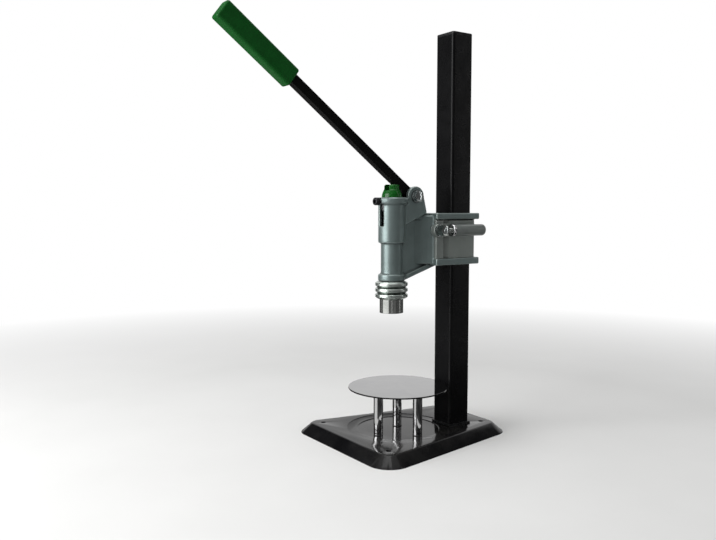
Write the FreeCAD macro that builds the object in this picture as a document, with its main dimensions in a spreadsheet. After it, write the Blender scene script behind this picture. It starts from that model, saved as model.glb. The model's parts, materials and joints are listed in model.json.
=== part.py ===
# Hand-lever crimper for perfume bottles: pressed base, square column, sliding cast head with a
# lever-driven ram, a screw-on crimp head and a loose three-legged bottle stand. Millimetres.
# Frame: +Z up, Z = 0 is the surface the base stands on, the ram axis is X = Y = 0, the column is
# behind it at +Y, and the operator stands at -Y.

import FreeCAD, Part
import math
import os

import Sketcher
from FreeCAD import Placement, Rotation, Vector

doc = FreeCAD.newDocument("perfume_bottle_crimper")

# Driving sizes
SIZES = [
    # pressed base
    ("base_front_width", 227.0, "front edge of the base, where it meets the table"),
    ("base_rear_width", 139.0, "rear edge of the base"),
    ("base_front_reach", 76.0, "front edge ahead of the ram axis"),
    ("base_rear_reach", 65.2, "rear edge behind the column axis"),
    ("base_shift", -20.0, "middle line of the base beside the column's middle plane"),
    ("base_height", 13.2, "top of the base above the table"),
    ("base_sheet", 2.0, "sheet thickness"),
    ("base_skirt", 15.0, "run of the sloping skirt"),
    ("base_corner", 29.0, "corner radius at the bottom edge"),
    ("base_edge", 4.0, "outside bend between skirt and top"),
    ("ring_margin", 25.12, "outer pressed step in from the side edge"),
    ("ring_back", 27.0, "centre of the pressed steps behind the ram axis"),
    ("ring_step", 0.8, "depth of each pressed step"),
    ("well_land", 14.0, "inner pressed step inside the outer one"),
    ("mount_hole", 7.0, "bench bolt hole diameter"),
    ("mount_side", 31.5, "bench hole in from the side edge"),
    ("mount_end", 30.0, "bench hole in from the front or rear edge"),
    # column
    ("column_side", 35.0, "square tube, outside"),
    ("column_wall", 2.0, "tube wall"),
    ("column_corner", 3.5, "outside corner radius of the tube"),
    ("column_back", 105.4, "column axis behind the ram axis"),
    ("column_top", 547.2, "top of the end cap above the table"),
    ("cap_thick", 3.5, "visible thickness of the end cap"),
    ("cap_plug", 12.0, "plug of the end cap inside the tube"),
    ("foot_ledge", 2.5, "foot plate outside the tube"),
    ("foot_plate", 2.0, "foot plate thickness"),
    ("foot_block", 18.0, "tapped block inside the tube foot"),
    ("foot_bolt", 6.0, "foot bolt thread"),
    ("foot_bolt_pitch", 18.0, "square pattern of the foot bolts"),
    ("foot_bolt_grip", 12.0, "thread length in the block"),
    ("foot_bolt_head", 4.0, "foot bolt head height"),
    ("foot_bolt_flats", 10.0, "foot bolt head across flats"),
    ("foot_washer", 12.5, "foot washer diameter"),
    ("foot_washer_thick", 1.5, "foot washer thickness"),
    ("plug_fit", 0.1, "gap of a plug or block in the tube"),
    ("thread_fit", 0.05, "radial gap drawn in a screwed joint"),
    ("slide_fit", 0.1, "gap between the sliding head and the column"),
    # head casting
    ("barrel_bottom", 218.0, "lower face of the barrel"),
    ("barrel_foot", 9.2, "height of the barrel's lower collar"),
    ("barrel_foot_radius", 17.7, "radius of the lower collar"),
    ("barrel_neck_radius", 14.1, "radius of the lower barrel"),
    ("barrel_lower", 49.7, "length of the lower barrel, collar included"),
    ("barrel_radius", 17.6, "radius of the upper barrel"),
    ("barrel_upper", 50.3, "length of the upper barrel below its rim"),
    ("rim_height", 8.7, "height of the barrel's top rim"),
    ("rim_radius", 21.0, "radius of the top rim"),
    ("spring_bore", 14.0, "radius of the upper bore"),
    ("spring_floor_rise", 2.3, "floor of the upper bore above the barrel's step"),
    ("bush_bore", 11.5, "radius of the lower bore"),
    ("web_thick", 9.0, "web panel thickness"),
    ("rib_width", 18.0, "width of the web's edge ribs"),
    ("rib_depth", 6.5, "depth of the web's edge ribs"),
    ("slot_width", 9.0, "guide slot in the barrel"),
    ("slot_length", 28.3, "guide slot below the rim"),
    ("ear_width", 22.4, "outside width over both ears"),
    ("ear_radius", 13.0, "ear radius round the pivot"),
    ("lever_gap", 10.8, "gap between the ears"),
    ("gap_depth", 9.5, "gap between the ears below the rim"),
    ("ear_foot", 6.5, "foot of the ears ahead of the clamp block"),
    ("web_rise", 0.3, "underside of the web above the barrel's lower face"),
    ("web_lap", 14.0, "web inside the clamp block"),
    ("web_round", 2.0, "casting radius between web and barrel"),
    ("web_clamp_round", 2.5, "casting radius between web and clamp block"),
    # clamp end of the casting
    ("clamp_front", 57.0, "front face of the clamp block behind the ram axis"),
    ("clamp_rear", 129.0, "rear face of the clamp wall"),
    ("clamp_half", 24.0, "half width of the clamp flanges"),
    ("clamp_inset", 1.5, "cheek set back from the flange edge"),
    ("flange_rear", 134.0, "rear edge of the clamp flanges"),
    ("clamp_height", 69.6, "height over both flanges"),
    ("lower_flange", 9.0, "lower flange thickness"),
    ("flange_drop", 11.7, "top of the upper flange below the rim"),
    ("upper_flange", 8.3, "upper flange thickness"),
    ("flange_corner", 3.0, "corner radius of the flanges"),
    ("jaw_gap", 0.3, "free gap round the clamp jaw"),
    ("jaw_rear", 125.0, "rear edge of the clamp jaw behind the ram axis"),
    ("jaw_groove_front", 67.4, "front of the groove in the jaw"),
    ("jaw_groove_width", 5.6, "width of the groove in the jaw"),
    ("jaw_groove_depth", 3.5, "depth of the groove in the jaw"),
    ("boss_radius", 8.5, "boss round the clamp screw"),
    ("boss_height", 2.7, "boss above the jaw face"),
    ("clamp_screw_size", 8.0, "clamp screw thread"),
    ("clamp_screw_back", 60.0, "clamp screw behind the ram axis"),
    ("clamp_screw_drop", 22.8, "clamp screw below the upper flange's top"),
    ("clamp_screw_show", 1.2, "clamp screw past its nut"),
    ("screw_hole_fit", 0.25, "radial gap of a through hole round its screw"),
    ("clamp_nut", 12.0, "length of the clamp nut"),
    ("hex_flats", 13.0, "across flats of the M8 heads and nuts"),
    ("hex_head", 5.3, "height of the M8 heads"),
    ("washer_radius", 8.0, "radius of the M8 washers"),
    ("washer_thick", 1.6, "thickness of the M8 washers"),
    ("tommy_radius", 3.5, "radius of the clamp lever's rod"),
    ("tommy_length", 60.0, "rod from the screw axis to its end"),
    ("clamp_grip_radius", 7.8, "radius of the clamp lever's sleeve"),
    ("clamp_grip_start", 17.1, "sleeve starts at this distance from the screw"),
    ("clamp_grip_end", 71.1, "sleeve ends at this distance from the screw"),
    ("grip_ring", 3.5, "length of the ring in front of the sleeve"),
    # lever
    ("pivot_back", 32.0, "lever pivot behind the ram axis"),
    ("pivot_rise", 1.6, "lever pivot above the barrel's rim"),
    ("pivot_bolt", 8.0, "pivot bolt shank"),
    ("pivot_bush", 12.0, "outside diameter of the pivot bush"),
    ("lock_nut", 8.0, "height of the pivot lock nut"),
    ("lever_angle", 37.2, "lever above the horizontal at rest, degrees"),
    ("lever_bar", 11.6, "square lever bar"),
    ("lever_round", 0.7, "rounding along the bar"),
    ("blade_thick", 10.0, "bar milled down between the ears and in the ram cap"),
    ("blade_end", 46.0, "end of the milled part from the pivot"),
    ("lever_length", 328.0, "bar end from the pivot"),
    ("eye_radius", 10.0, "lever eye round the pivot"),
    ("nose_radius", 5.0, "rounded nose that pushes the ram"),
    ("nose_back", 6.0, "nose behind the ram axis at rest"),
    ("toe_relief", 7.5, "extra slope behind the nose, degrees"),
    ("nose_gap", 0.15, "play between nose and ram cap"),
    ("grip_start", 225.5, "grip from the pivot"),
    ("grip_end", 338.0, "grip tip from the pivot"),
    ("grip_height", 25.0, "grip section, tall way"),
    ("grip_width", 18.0, "grip section, thin way"),
    ("grip_drop", 0.7, "middle of the grip below the bar's middle"),
    ("grip_round", 4.0, "rounding along the grip"),
    ("grip_tip_round", 2.5, "rounding of the grip's ends"),
    # ram
    ("ram_radius", 9.0, "ram shaft radius"),
    ("running_fit", 0.08, "radial gap of a sliding or turning fit"),
    ("piston_depth", 16.7, "underside of the piston below the rim's top"),
    ("piston_height", 16.0, "piston height, with the cap on top"),
    ("dome_rise", 0.7, "start of the cap's dome above the rim"),
    ("cap_base_radius", 13.4, "dome radius at its base"),
    ("cap_shoulder_radius", 10.9, "dome radius at the slot floor"),
    ("dome_height", 8.3, "dome up to the floor of the nose slot"),
    ("dome_bulge", 0.5, "dome outside a straight cone at half height"),
    ("prong_height", 7.8, "prongs above the floor of the nose slot"),
    ("cap_top_radius", 9.8, "radius over the prongs"),
    ("cap_slot_fit", 0.6, "side gap of the lever in the cap slot"),
    ("ram_stud", 6.0, "radius of the ram's upper stud"),
    ("ram_stud_length", 8.0, "stud length in the cap"),
    ("ram_thread", 7.0, "radius of the ram's lower thread"),
    ("guide_screw_size", 6.0, "guide screw thread"),
    ("guide_screw_drop", 5.2, "guide screw below the rim's top"),
    ("guide_screw_head", 10.0, "guide screw head diameter"),
    ("guide_screw_head_length", 6.0, "guide screw head length"),
    ("guide_head_gap", 0.6, "gap between the head and the rim"),
    ("spring_wire", 2.0, "return spring wire"),
    ("spring_coil_radius", 11.4, "return spring mean radius"),
    ("spring_turns", 6.0, "return spring turns"),
    ("spring_seat", 1.0, "spring seat washer thickness"),
    ("bush_length", 18.0, "ram bush length"),
    # crimp head
    ("crimp_rest_gap", 0.3, "gap under the barrel with the ram up"),
    ("crimp_height", 22.5, "height of the ribbed body"),
    ("crimp_rib_radius", 21.6, "radius over the ribs"),
    ("crimp_root_radius", 18.6, "radius between the ribs"),
    ("sleeve_radius", 15.9, "chrome sleeve radius"),
    ("sleeve_show", 19.0, "chrome sleeve below the ribbed body"),
    ("socket_radius", 13.0, "socket for the sleeve in the body"),
    ("socket_depth", 11.0, "depth of that socket"),
    ("sleeve_bore", 11.0, "spring chamber radius"),
    ("ledge_rise", 13.1, "ledge that holds the collet above the sleeve's mouth"),
    ("ledge_bore", 10.1, "bore through the ledge"),
    ("ledge_thick", 3.0, "height of that bore"),
    ("mouth_radius", 13.5, "cone radius at the mouth"),
    ("collet_bore", 8.7, "bore that takes the ferrule"),
    ("collet_wall", 1.2, "collet wall"),
    ("collet_flange", 2.0, "collet flange height"),
    ("collet_head_radius", 11.6, "radius of the finger heads"),
    ("collet_head", 2.0, "straight height of the finger heads"),
    ("collet_travel", 2.4, "collet's rise while it closes"),
    ("collet_lip", 0.8, "fingers above the sleeve mouth"),
    ("collet_slit", 1.2, "slits between the fingers"),
    ("collet_fingers", 6, "number of fingers"),
    ("collet_wire", 1.2, "collet spring wire"),
    ("collet_turns", 4.0, "collet spring turns"),
    # bottle stand
    ("stand_shift", -7.0, "stand centre across from the ram axis"),
    ("stand_back", 16.5, "stand centre behind the ram axis"),
    ("stand_radius", 66.5, "stand plate radius"),
    ("stand_top", 74.3, "top of the stand plate above the table"),
    ("stand_plate", 2.0, "stand plate thickness"),
    ("leg_radius", 6.35, "stand leg radius"),
    ("leg_wall", 1.2, "stand leg wall"),
    ("leg_circle", 30.0, "leg circle radius"),
    ("leg_first", -96.0, "first leg's direction, degrees"),
    ("leg_spigot", 10.0, "spigot length in the leg"),
    ("leg_pad", 1.0, "foot pad under each leg"),
]

sheet = doc.addObject("Spreadsheet::Sheet", "Sizes")
sheet.set("A1", "name")
sheet.set("B1", "value")
sheet.set("C1", "meaning")
for row, (alias, value, meaning) in enumerate(SIZES, start=2):
    sheet.set(f"A{row}", alias)
    sheet.set(f"B{row}", str(value))
    sheet.set(f"C{row}", meaning)
    sheet.setAlias(f"B{row}", alias)
doc.recompute()


class Size:
    """A length that keeps both its formula for the document and its value for first drawing."""

    def __init__(self, text, value):
        self.text = text
        self.value = value

    def __add__(self, other):
        other = as_size(other)
        return Size(f"({self.text} + {other.text})", self.value + other.value)

    def __sub__(self, other):
        other = as_size(other)
        return Size(f"({self.text} - {other.text})", self.value - other.value)

    def __mul__(self, other):
        other = as_size(other)
        return Size(f"({self.text} * {other.text})", self.value * other.value)

    def __truediv__(self, other):
        other = as_size(other)
        return Size(f"({self.text} / {other.text})", self.value / other.value)

    def __neg__(self):
        return Size(f"(0 - {self.text})", -self.value)

    def __radd__(self, other):
        return as_size(other) + self

    def __rsub__(self, other):
        return as_size(other) - self

    def __rmul__(self, other):
        return as_size(other) * self


def as_size(x):
    return x if isinstance(x, Size) else Size(f"({x})", float(x))


def root(x):
    return Size(f"sqrt({x.text})", math.sqrt(x.value))


class Named:
    pass


S = Named()
for alias, value, meaning in SIZES:
    setattr(S, alias, Size(f"Sizes.{alias}", float(sheet.get(alias))))

# Heights above the table, all carried up from the barrel's lower face.
S.barrel_step = S.barrel_bottom + S.barrel_lower
S.rim_bottom = S.barrel_step + S.barrel_upper
S.rim_top = S.rim_bottom + S.rim_height
S.spring_floor = S.barrel_step + S.spring_floor_rise
S.slot_bottom = S.rim_bottom - S.slot_length
S.gap_floor = S.rim_bottom - S.gap_depth
S.flange_top = S.rim_bottom - S.flange_drop
S.flange_bottom = S.flange_top - S.clamp_height
S.clamp_screw_height = S.flange_top - S.clamp_screw_drop
S.pivot_height = S.rim_top + S.pivot_rise
S.piston_bottom = S.rim_top - S.piston_depth
S.cap_seat = S.piston_bottom + S.piston_height
S.cap_dome_base = S.rim_top + S.dome_rise
S.cap_slot_floor = S.cap_dome_base + S.dome_height
S.cap_top = S.cap_slot_floor + S.prong_height
S.guide_screw_height = S.rim_top - S.guide_screw_drop
S.crimp_top = S.barrel_bottom - S.crimp_rest_gap
S.crimp_bottom = S.crimp_top - S.crimp_height
S.sleeve_bottom = S.crimp_bottom - S.sleeve_show
S.sleeve_ledge = S.sleeve_bottom + S.ledge_rise


# Drawing helpers
def bind(obj, path, size):
    """Ties one property of an object to a formula on the sheet."""
    obj.setExpression(path, as_size(size).text)


def body(name, x=0, y=0, z=0):
    """A body standing at x, y, z; its sketches are drawn in its own frame."""
    made = doc.addObject("PartDesign::Body", name)
    made.Label = name
    place(made, x, y, z)
    return made


def sound(owner, made):
    """Recomputes and names the feature that failed, if one did."""
    doc.recompute()
    if "Invalid" in made.State or made.Shape.isNull() or not made.Shape.isValid():
        raise RuntimeError(f"{owner.Label}: {made.Label} failed {made.State}")
    return made


def place(obj, x=0, y=0, z=0, axis=None, angle=0):
    turn = Rotation(axis, as_size(angle).value) if axis else Rotation()
    obj.Placement = Placement(Vector(as_size(x).value, as_size(y).value, as_size(z).value), turn)
    for part, size in (("x", x), ("y", y), ("z", z)):
        if isinstance(size, Size):
            bind(obj, f"Placement.Base.{part}", size)
    if isinstance(angle, Size):
        obj.setExpression("Placement.Rotation.Angle", f"{angle.text} * 1 deg")


def origin_part(owner, role):
    return next(f for f in owner.Origin.OriginFeatures if f.Role == role)


def sketch(owner, name, plane="XY_Plane", height=None):
    made = owner.newObject("Sketcher::SketchObject", name)
    made.AttachmentSupport = [(origin_part(owner, plane), "")]
    made.MapMode = "FlatFace"
    if height is not None:
        made.AttachmentOffset = Placement(Vector(0, 0, as_size(height).value), Rotation())
        bind(made, "AttachmentOffset.Base.z", height)
    return made


def fix(sk, kind, index, vertex, size):
    """Holds one point of a sketch at a signed distance from the sketch origin."""
    size = as_size(size)
    if size.text in ("(0)", "(0.0)"):
        axis = -2 if kind == "DistanceX" else -1
        sk.addConstraint(Sketcher.Constraint("PointOnObject", index, vertex, axis))
        return
    number = sk.addConstraint(Sketcher.Constraint(kind, -1, 1, index, vertex, size.value))
    sk.setExpression(f"Constraints[{number}]", size.text)


def outline(sk, points):
    """A closed outline of straight lines through points given as pairs of sizes."""
    first = sk.GeometryCount
    spots = [Vector(as_size(x).value, as_size(y).value, 0) for x, y in points]
    count = len(spots)
    for i in range(count):
        sk.addGeometry(Part.LineSegment(spots[i], spots[(i + 1) % count]))
    for i in range(count):
        after = first + (i + 1) % count
        sk.addConstraint(Sketcher.Constraint("Coincident", first + i, 2, after, 1))
    for i, (x, y) in enumerate(points):
        fix(sk, "DistanceX", first + i, 1, x)
        fix(sk, "DistanceY", first + i, 1, y)


def rectangle(sk, x0, y0, x1, y1):
    outline(sk, [(x0, y0), (x1, y0), (x1, y1), (x0, y1)])


def circle(sk, radius, x=0, y=0):
    index = sk.GeometryCount
    radius = as_size(radius)
    centre = Vector(as_size(x).value, as_size(y).value, 0)
    sk.addGeometry(Part.Circle(centre, Vector(0, 0, 1), radius.value))
    number = sk.addConstraint(Sketcher.Constraint("Radius", index, radius.value))
    sk.setExpression(f"Constraints[{number}]", radius.text)
    fix(sk, "DistanceX", index, 3, x)
    fix(sk, "DistanceY", index, 3, y)


def hexagon(sk, flats, x=0, y=0):
    """A hexagon with two corners up, from its width across flats."""
    half = as_size(flats) / 2
    corner = as_size(flats) * 0.57735
    x = as_size(x)
    y = as_size(y)
    outline(sk, [(x + half, y - corner / 2), (x + half, y + corner / 2), (x, y + corner),
                 (x - half, y + corner / 2), (x - half, y - corner / 2), (x, y - corner)])


def pad(owner, name, sk, length, both=False, down=False, taper=None):
    made = owner.newObject("PartDesign::Pad", name)
    made.Profile = sk
    made.Length = as_size(length).value
    bind(made, "Length", length)
    if both:
        made.SideType = "Symmetric"
    made.Reversed = down
    if taper is not None:
        made.TaperAngle = taper.value
        made.setExpression("TaperAngle", f"{taper.text} * 1 deg")
    return sound(owner, made)


def pocket(owner, name, sk, length=None, both=False, up=False, taper=None):
    """Cuts into the solid; the volume has to fall, so a cut that misses is noticed."""
    before = owner.Shape.Volume
    made = owner.newObject("PartDesign::Pocket", name)
    made.Profile = sk
    if length is None:
        made.Type = "ThroughAll"
    else:
        made.Length = as_size(length).value
        bind(made, "Length", length)
    if both:
        made.SideType = "Symmetric"
    made.Reversed = up
    if taper is not None:
        made.TaperAngle = taper.value
        made.setExpression("TaperAngle", f"{taper.text} * 1 deg")
    sound(owner, made)
    if owner.Shape.Volume >= before - 1e-6:
        raise RuntimeError(f"{owner.Label}: {name} cuts nothing")
    return made


def revolve(owner, name, sk, cut=False):
    before = owner.Shape.Volume if cut else 0
    kind = "PartDesign::Groove" if cut else "PartDesign::Revolution"
    made = owner.newObject(kind, name)
    made.Profile = sk
    made.ReferenceAxis = (sk, ["V_Axis"])
    made.Angle = 360.0
    sound(owner, made)
    if cut and owner.Shape.Volume >= before - 1e-6:
        raise RuntimeError(f"{owner.Label}: {name} cuts nothing")
    return made


def turned(owner, name, points):
    """A turned solid from a half section of (radius, height) points."""
    sk = sketch(owner, name + "_section", "XZ_Plane")
    outline(sk, points)
    return revolve(owner, name, sk)


def bored(owner, name, points):
    sk = sketch(owner, name + "_section", "XZ_Plane")
    outline(sk, points)
    return revolve(owner, name, sk, cut=True)


def edges_where(shape, test):
    return [f"Edge{i}" for i, e in enumerate(shape.Edges, start=1) if test(e)]


def rounded(owner, name, radius, test, kind="PartDesign::Fillet"):
    """Rounds or bevels the edges of the newest feature that pass a test."""
    tip = owner.Tip
    names = edges_where(tip.Shape, test)
    if not names:
        raise RuntimeError(f"{owner.Label}: no edge for {name}")
    made = owner.newObject(kind, name)
    made.Base = (tip, names)
    key = "Radius" if kind == "PartDesign::Fillet" else "Size"
    setattr(made, key, as_size(radius).value)
    bind(made, key, radius)
    return sound(owner, made)


def bevelled(owner, name, size, test):
    return rounded(owner, name, size, test, kind="PartDesign::Chamfer")


def polar(owner, name, feature, count, angle=360.0):
    made = owner.newObject("PartDesign::PolarPattern", name)
    made.Originals = [feature]
    made.Axis = (origin_part(owner, "Z_Axis"), [""])
    made.Angle = angle
    made.Occurrences = int(round(as_size(count).value))
    if isinstance(count, Size):
        bind(made, "Occurrences", count)
    owner.Tip = made
    return sound(owner, made)


def mid(edge):
    return edge.CenterOfGravity


def near(a, b, within=0.05):
    return abs(a - as_size(b).value) < within


def level(edge, z, within=0.05):
    """True for an edge that lies wholly at one height."""
    box = edge.BoundBox
    return near(box.ZMin, z, within) and near(box.ZMax, z, within)


def upright(edge):
    box = edge.BoundBox
    return box.XLength < 1e-3 and box.YLength < 1e-3 and box.ZLength > 1e-3


def along_x(edge):
    box = edge.BoundBox
    return box.ZLength < 1e-3 and box.YLength < 1e-3 and box.XLength > 1e-3


def round_edge(edge, radius=None):
    curve = edge.Curve
    if not isinstance(curve, Part.Circle):
        return False
    return radius is None or near(curve.Radius, radius, 0.02)


nodes = []


def keep(obj):
    """Lists a finished piece for export."""
    nodes.append(obj)
    return obj


# Base plate
# One pressed sheet: a trapezoid with rounded corners, a sloping skirt and two round steps.
front_half = S.base_front_width / 2
rear_half = S.base_rear_width / 2
rear_y = S.column_back + S.base_rear_reach
lean = (front_half - rear_half) / (rear_y + S.base_front_reach)
slant = root(1 + lean * lean)
ring_radius = front_half - lean * (S.base_front_reach + S.ring_back) - S.ring_margin
well_radius = ring_radius - S.well_land
skirt_angle = Size(f"(atan({S.base_skirt.text} / {S.base_height.text}) / 1 deg)",
                   math.degrees(math.atan(S.base_skirt.value / S.base_height.value)))
skirt_slope = root(S.base_skirt * S.base_skirt + S.base_height * S.base_height)
wall_run = S.base_sheet * skirt_slope / S.base_height


def plate_outline(sk, inset):
    """The base's outline moved inward: four straight edges joined by tangent arcs."""
    radius = S.base_corner - inset
    front = front_half - lean * inset - slant * inset
    rear = rear_half + lean * inset - slant * inset
    y0 = inset - S.base_front_reach
    y1 = rear_y - inset
    front_run = radius * (slant + lean)
    rear_run = radius * (slant - lean)
    x = S.base_shift
    loop = []
    for side in (1, -1):
        corner = [(x + side * (front - front_run), y0),
                  (x + side * (front - lean * front_run / slant), y0 + front_run / slant),
                  (x + side * (rear + lean * rear_run / slant), y1 - rear_run / slant),
                  (x + side * (rear - rear_run), y1)]
        loop += corner if side > 0 else corner[::-1]
    centres = [(x + (front - front_run), y0 + radius), (x + (rear - rear_run), y1 - radius),
               (x - (rear - rear_run), y1 - radius), (x - (front - front_run), y0 + radius)]
    spots = [Vector(px.value, py.value, 0) for px, py in loop]
    for i in range(8):
        start, end = spots[i], spots[(i + 1) % 8]
        if i % 2:
            sk.addGeometry(Part.LineSegment(start, end))
        else:
            cx, cy = centres[i // 2]
            centre = Vector(cx.value, cy.value, 0)
            first = math.atan2(start.y - centre.y, start.x - centre.x)
            last = math.atan2(end.y - centre.y, end.x - centre.x)
            full = Part.Circle(centre, Vector(0, 0, 1), radius.value)
            sk.addGeometry(Part.ArcOfCircle(full, first, last))
    for i in range(8):
        sk.addConstraint(Sketcher.Constraint("Coincident", i, 2, (i + 1) % 8, 1))
    for i, (px, py) in enumerate(loop):
        fix(sk, "DistanceX", i, 1, px)
        fix(sk, "DistanceY", i, 1, py)
    for i in range(0, 8, 2):
        number = sk.addConstraint(Sketcher.Constraint("Radius", i, radius.value))
        sk.setExpression(f"Constraints[{number}]", radius.text)


base = body("base_plate")
sk = sketch(base, "base_outline")
plate_outline(sk, as_size(0))
pad(base, "base_form", sk, S.base_height, taper=-skirt_angle)
rounded(base, "base_bend", S.base_edge, lambda e: level(e, S.base_height))
sk = sketch(base, "base_hollow_outline")
plate_outline(sk, wall_run)
pocket(base, "base_hollow", sk, S.base_height - S.base_sheet, up=True, taper=-skirt_angle)
ring_y = S.ring_back
for name, radius, depth in (("ring", ring_radius, S.ring_step), ("well", well_radius, S.ring_step * 2)):
    sk = sketch(base, name + "_backing_outline", height=S.base_height - S.base_sheet - depth)
    circle(sk, radius + S.base_sheet, S.base_shift, ring_y)
    pad(base, name + "_backing", sk, depth)
for name, radius, depth in (("ring", ring_radius, S.ring_step), ("well", well_radius, S.ring_step * 2)):
    sk = sketch(base, name + "_outline", height=S.base_height)
    circle(sk, radius, S.base_shift, ring_y)
    pocket(base, name + "_step", sk, depth)
rounded(base, "step_edges", S.ring_step * 0.35,
        lambda e: round_edge(e) and (round_edge(e, ring_radius) or round_edge(e, well_radius))
        and e.BoundBox.ZMin > S.base_height.value - 2.5 * S.ring_step.value)
sk = sketch(base, "bolt_seat_outline", height=S.base_height - S.base_sheet)
seat_half = S.foot_bolt_pitch / 2 + S.foot_washer / 2 + 0.5
rectangle(sk, -seat_half, S.column_back - seat_half, seat_half, S.column_back + seat_half)
pocket(base, "bolt_seat", sk, S.ring_step * 3)
front_hole_x = front_half - lean * S.mount_end - S.mount_side
rear_hole_x = rear_half + lean * S.mount_end - S.mount_side
sk = sketch(base, "hole_places", height=S.base_height)
for side in (-1, 1):
    circle(sk, S.mount_hole / 2, S.base_shift + side * front_hole_x, S.mount_end - S.base_front_reach)
    circle(sk, S.mount_hole / 2, S.base_shift + side * rear_hole_x, rear_y - S.mount_end)
    for way in (-1, 1):
        circle(sk, S.foot_bolt / 2 + S.screw_hole_fit, side * S.foot_bolt_pitch / 2,
               S.column_back + way * S.foot_bolt_pitch / 2)
pocket(base, "holes", sk)
keep(base)

# Column
tube_foot = S.base_height + S.foot_plate
tube_top = S.column_top - S.cap_thick
half = S.column_side / 2
inner = half - S.column_wall

column = body("column_tube", 0, S.column_back, tube_foot)
sk = sketch(column, "tube_outline")
rectangle(sk, -half, -half, half, half)
pad(column, "tube_form", sk, tube_top - tube_foot)
rounded(column, "tube_corners", S.column_corner, upright)
sk = sketch(column, "tube_bore_outline")
rectangle(sk, -inner, -inner, inner, inner)
pocket(column, "tube_bore", sk, up=True)
rounded(column, "bore_corners", S.column_corner - S.column_wall,
        lambda e: upright(e) and abs(mid(e).x) < inner.value + 0.1 and abs(mid(e).y) < inner.value + 0.1)
keep(column)

cap = body("column_end_cap", 0, S.column_back, tube_top)
sk = sketch(cap, "cap_outline")
rectangle(sk, -half, -half, half, half)
pad(cap, "cap_top_plate", sk, S.cap_thick)
rounded(cap, "cap_corners", S.column_corner, upright)
rounded(cap, "cap_edge", S.cap_thick * 0.35, lambda e: level(e, S.cap_thick))
sk = sketch(cap, "plug_outline")
plug_half = inner - S.plug_fit
rectangle(sk, -plug_half, -plug_half, plug_half, plug_half)
pad(cap, "cap_plug_form", sk, S.cap_plug, down=True)
rounded(cap, "plug_corners", S.column_corner - S.column_wall,
        lambda e: upright(e) and mid(e).z < 0)
sk = sketch(cap, "plug_hollow_outline", height=-S.cap_plug)
hollow = plug_half - S.column_wall
rectangle(sk, -hollow, -hollow, hollow, hollow)
pocket(cap, "plug_hollow", sk, S.cap_plug - 0.5, up=True)
keep(cap)

foot = body("column_foot_plug", 0, S.column_back, S.base_height)
sk = sketch(foot, "foot_plate_outline")
ledge = half + S.foot_ledge
rectangle(sk, -ledge, -ledge, ledge, ledge)
pad(foot, "foot_plate_form", sk, S.foot_plate)
rounded(foot, "foot_plate_corners", S.column_corner, upright)
rounded(foot, "foot_plate_edge", S.foot_plate * 0.6, lambda e: level(e, S.foot_plate))
sk = sketch(foot, "foot_block_outline", height=S.foot_plate)
block_half = inner - S.plug_fit
rectangle(sk, -block_half, -block_half, block_half, block_half)
pad(foot, "foot_block_form", sk, S.foot_block)
rounded(foot, "block_corners", S.column_corner - S.column_wall,
        lambda e: upright(e) and mid(e).z > S.foot_plate.value + 1)
sk = sketch(foot, "tapped_holes")
for side in (-1, 1):
    for way in (-1, 1):
        circle(sk, S.foot_bolt / 2 + S.thread_fit, side * S.foot_bolt_pitch / 2, way * S.foot_bolt_pitch / 2)
pocket(foot, "tapped_hole_cut", sk, S.foot_plate + S.foot_bolt_grip + 2, up=True)
keep(foot)


# Foot bolts and washers
def group(name, pieces):
    """Alike pieces that share one node."""
    made = doc.addObject("Part::Compound", name)
    made.Label = name
    made.Links = pieces
    return keep(made)


def cylinder(name, radius, height, x=0, y=0, z=0):
    made = doc.addObject("Part::Cylinder", name)
    bind(made, "Radius", radius)
    bind(made, "Height", height)
    place(made, x, y, z)
    return made


def ring(name, outer, bore, height, x=0, y=0, z=0):
    outside = cylinder(name + "_outside", outer, height)
    inside = cylinder(name + "_inside", bore, height)
    made = doc.addObject("Part::Cut", name)
    made.Base = outside
    made.Tool = inside
    place(made, x, y, z)
    return made


washer_top = S.base_height - S.base_sheet
head_top = washer_top - S.foot_washer_thick
bolts = []
washers = []
spots = [(-1, -1), (1, -1), (1, 1), (-1, 1)]
for number, (side, way) in enumerate(spots, start=1):
    x = side * S.foot_bolt_pitch / 2
    y = S.column_back + way * S.foot_bolt_pitch / 2
    shank = cylinder(f"foot_shank_{number}", S.foot_bolt / 2,
                     S.foot_washer_thick + S.base_sheet + S.foot_plate + S.foot_bolt_grip)
    head = doc.addObject("Part::Prism", f"foot_head_{number}")
    head.Polygon = 6
    bind(head, "Circumradius", S.foot_bolt_flats * 0.57735)
    bind(head, "Height", S.foot_bolt_head)
    place(head, 0, 0, -S.foot_bolt_head)
    bolt = doc.addObject("Part::Fuse", f"foot_bolt_{number}")
    bolt.Base = shank
    bolt.Tool = head
    place(bolt, x, y, head_top)
    bolts.append(bolt)
    washers.append(ring(f"foot_washer_{number}", S.foot_washer / 2, S.foot_bolt / 2 + S.screw_hole_fit,
                        S.foot_washer_thick, x, y, head_top))
group("column_bolts", bolts)
group("column_washers", washers)

# Head casting
pivot_y = S.pivot_back
pivot_z = S.pivot_height
jaw_inner = half + S.slide_fit
cheek_face = S.clamp_half - S.clamp_inset
upper_under = S.flange_top - S.upper_flange
lower_over = S.flange_bottom + S.lower_flange

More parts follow.
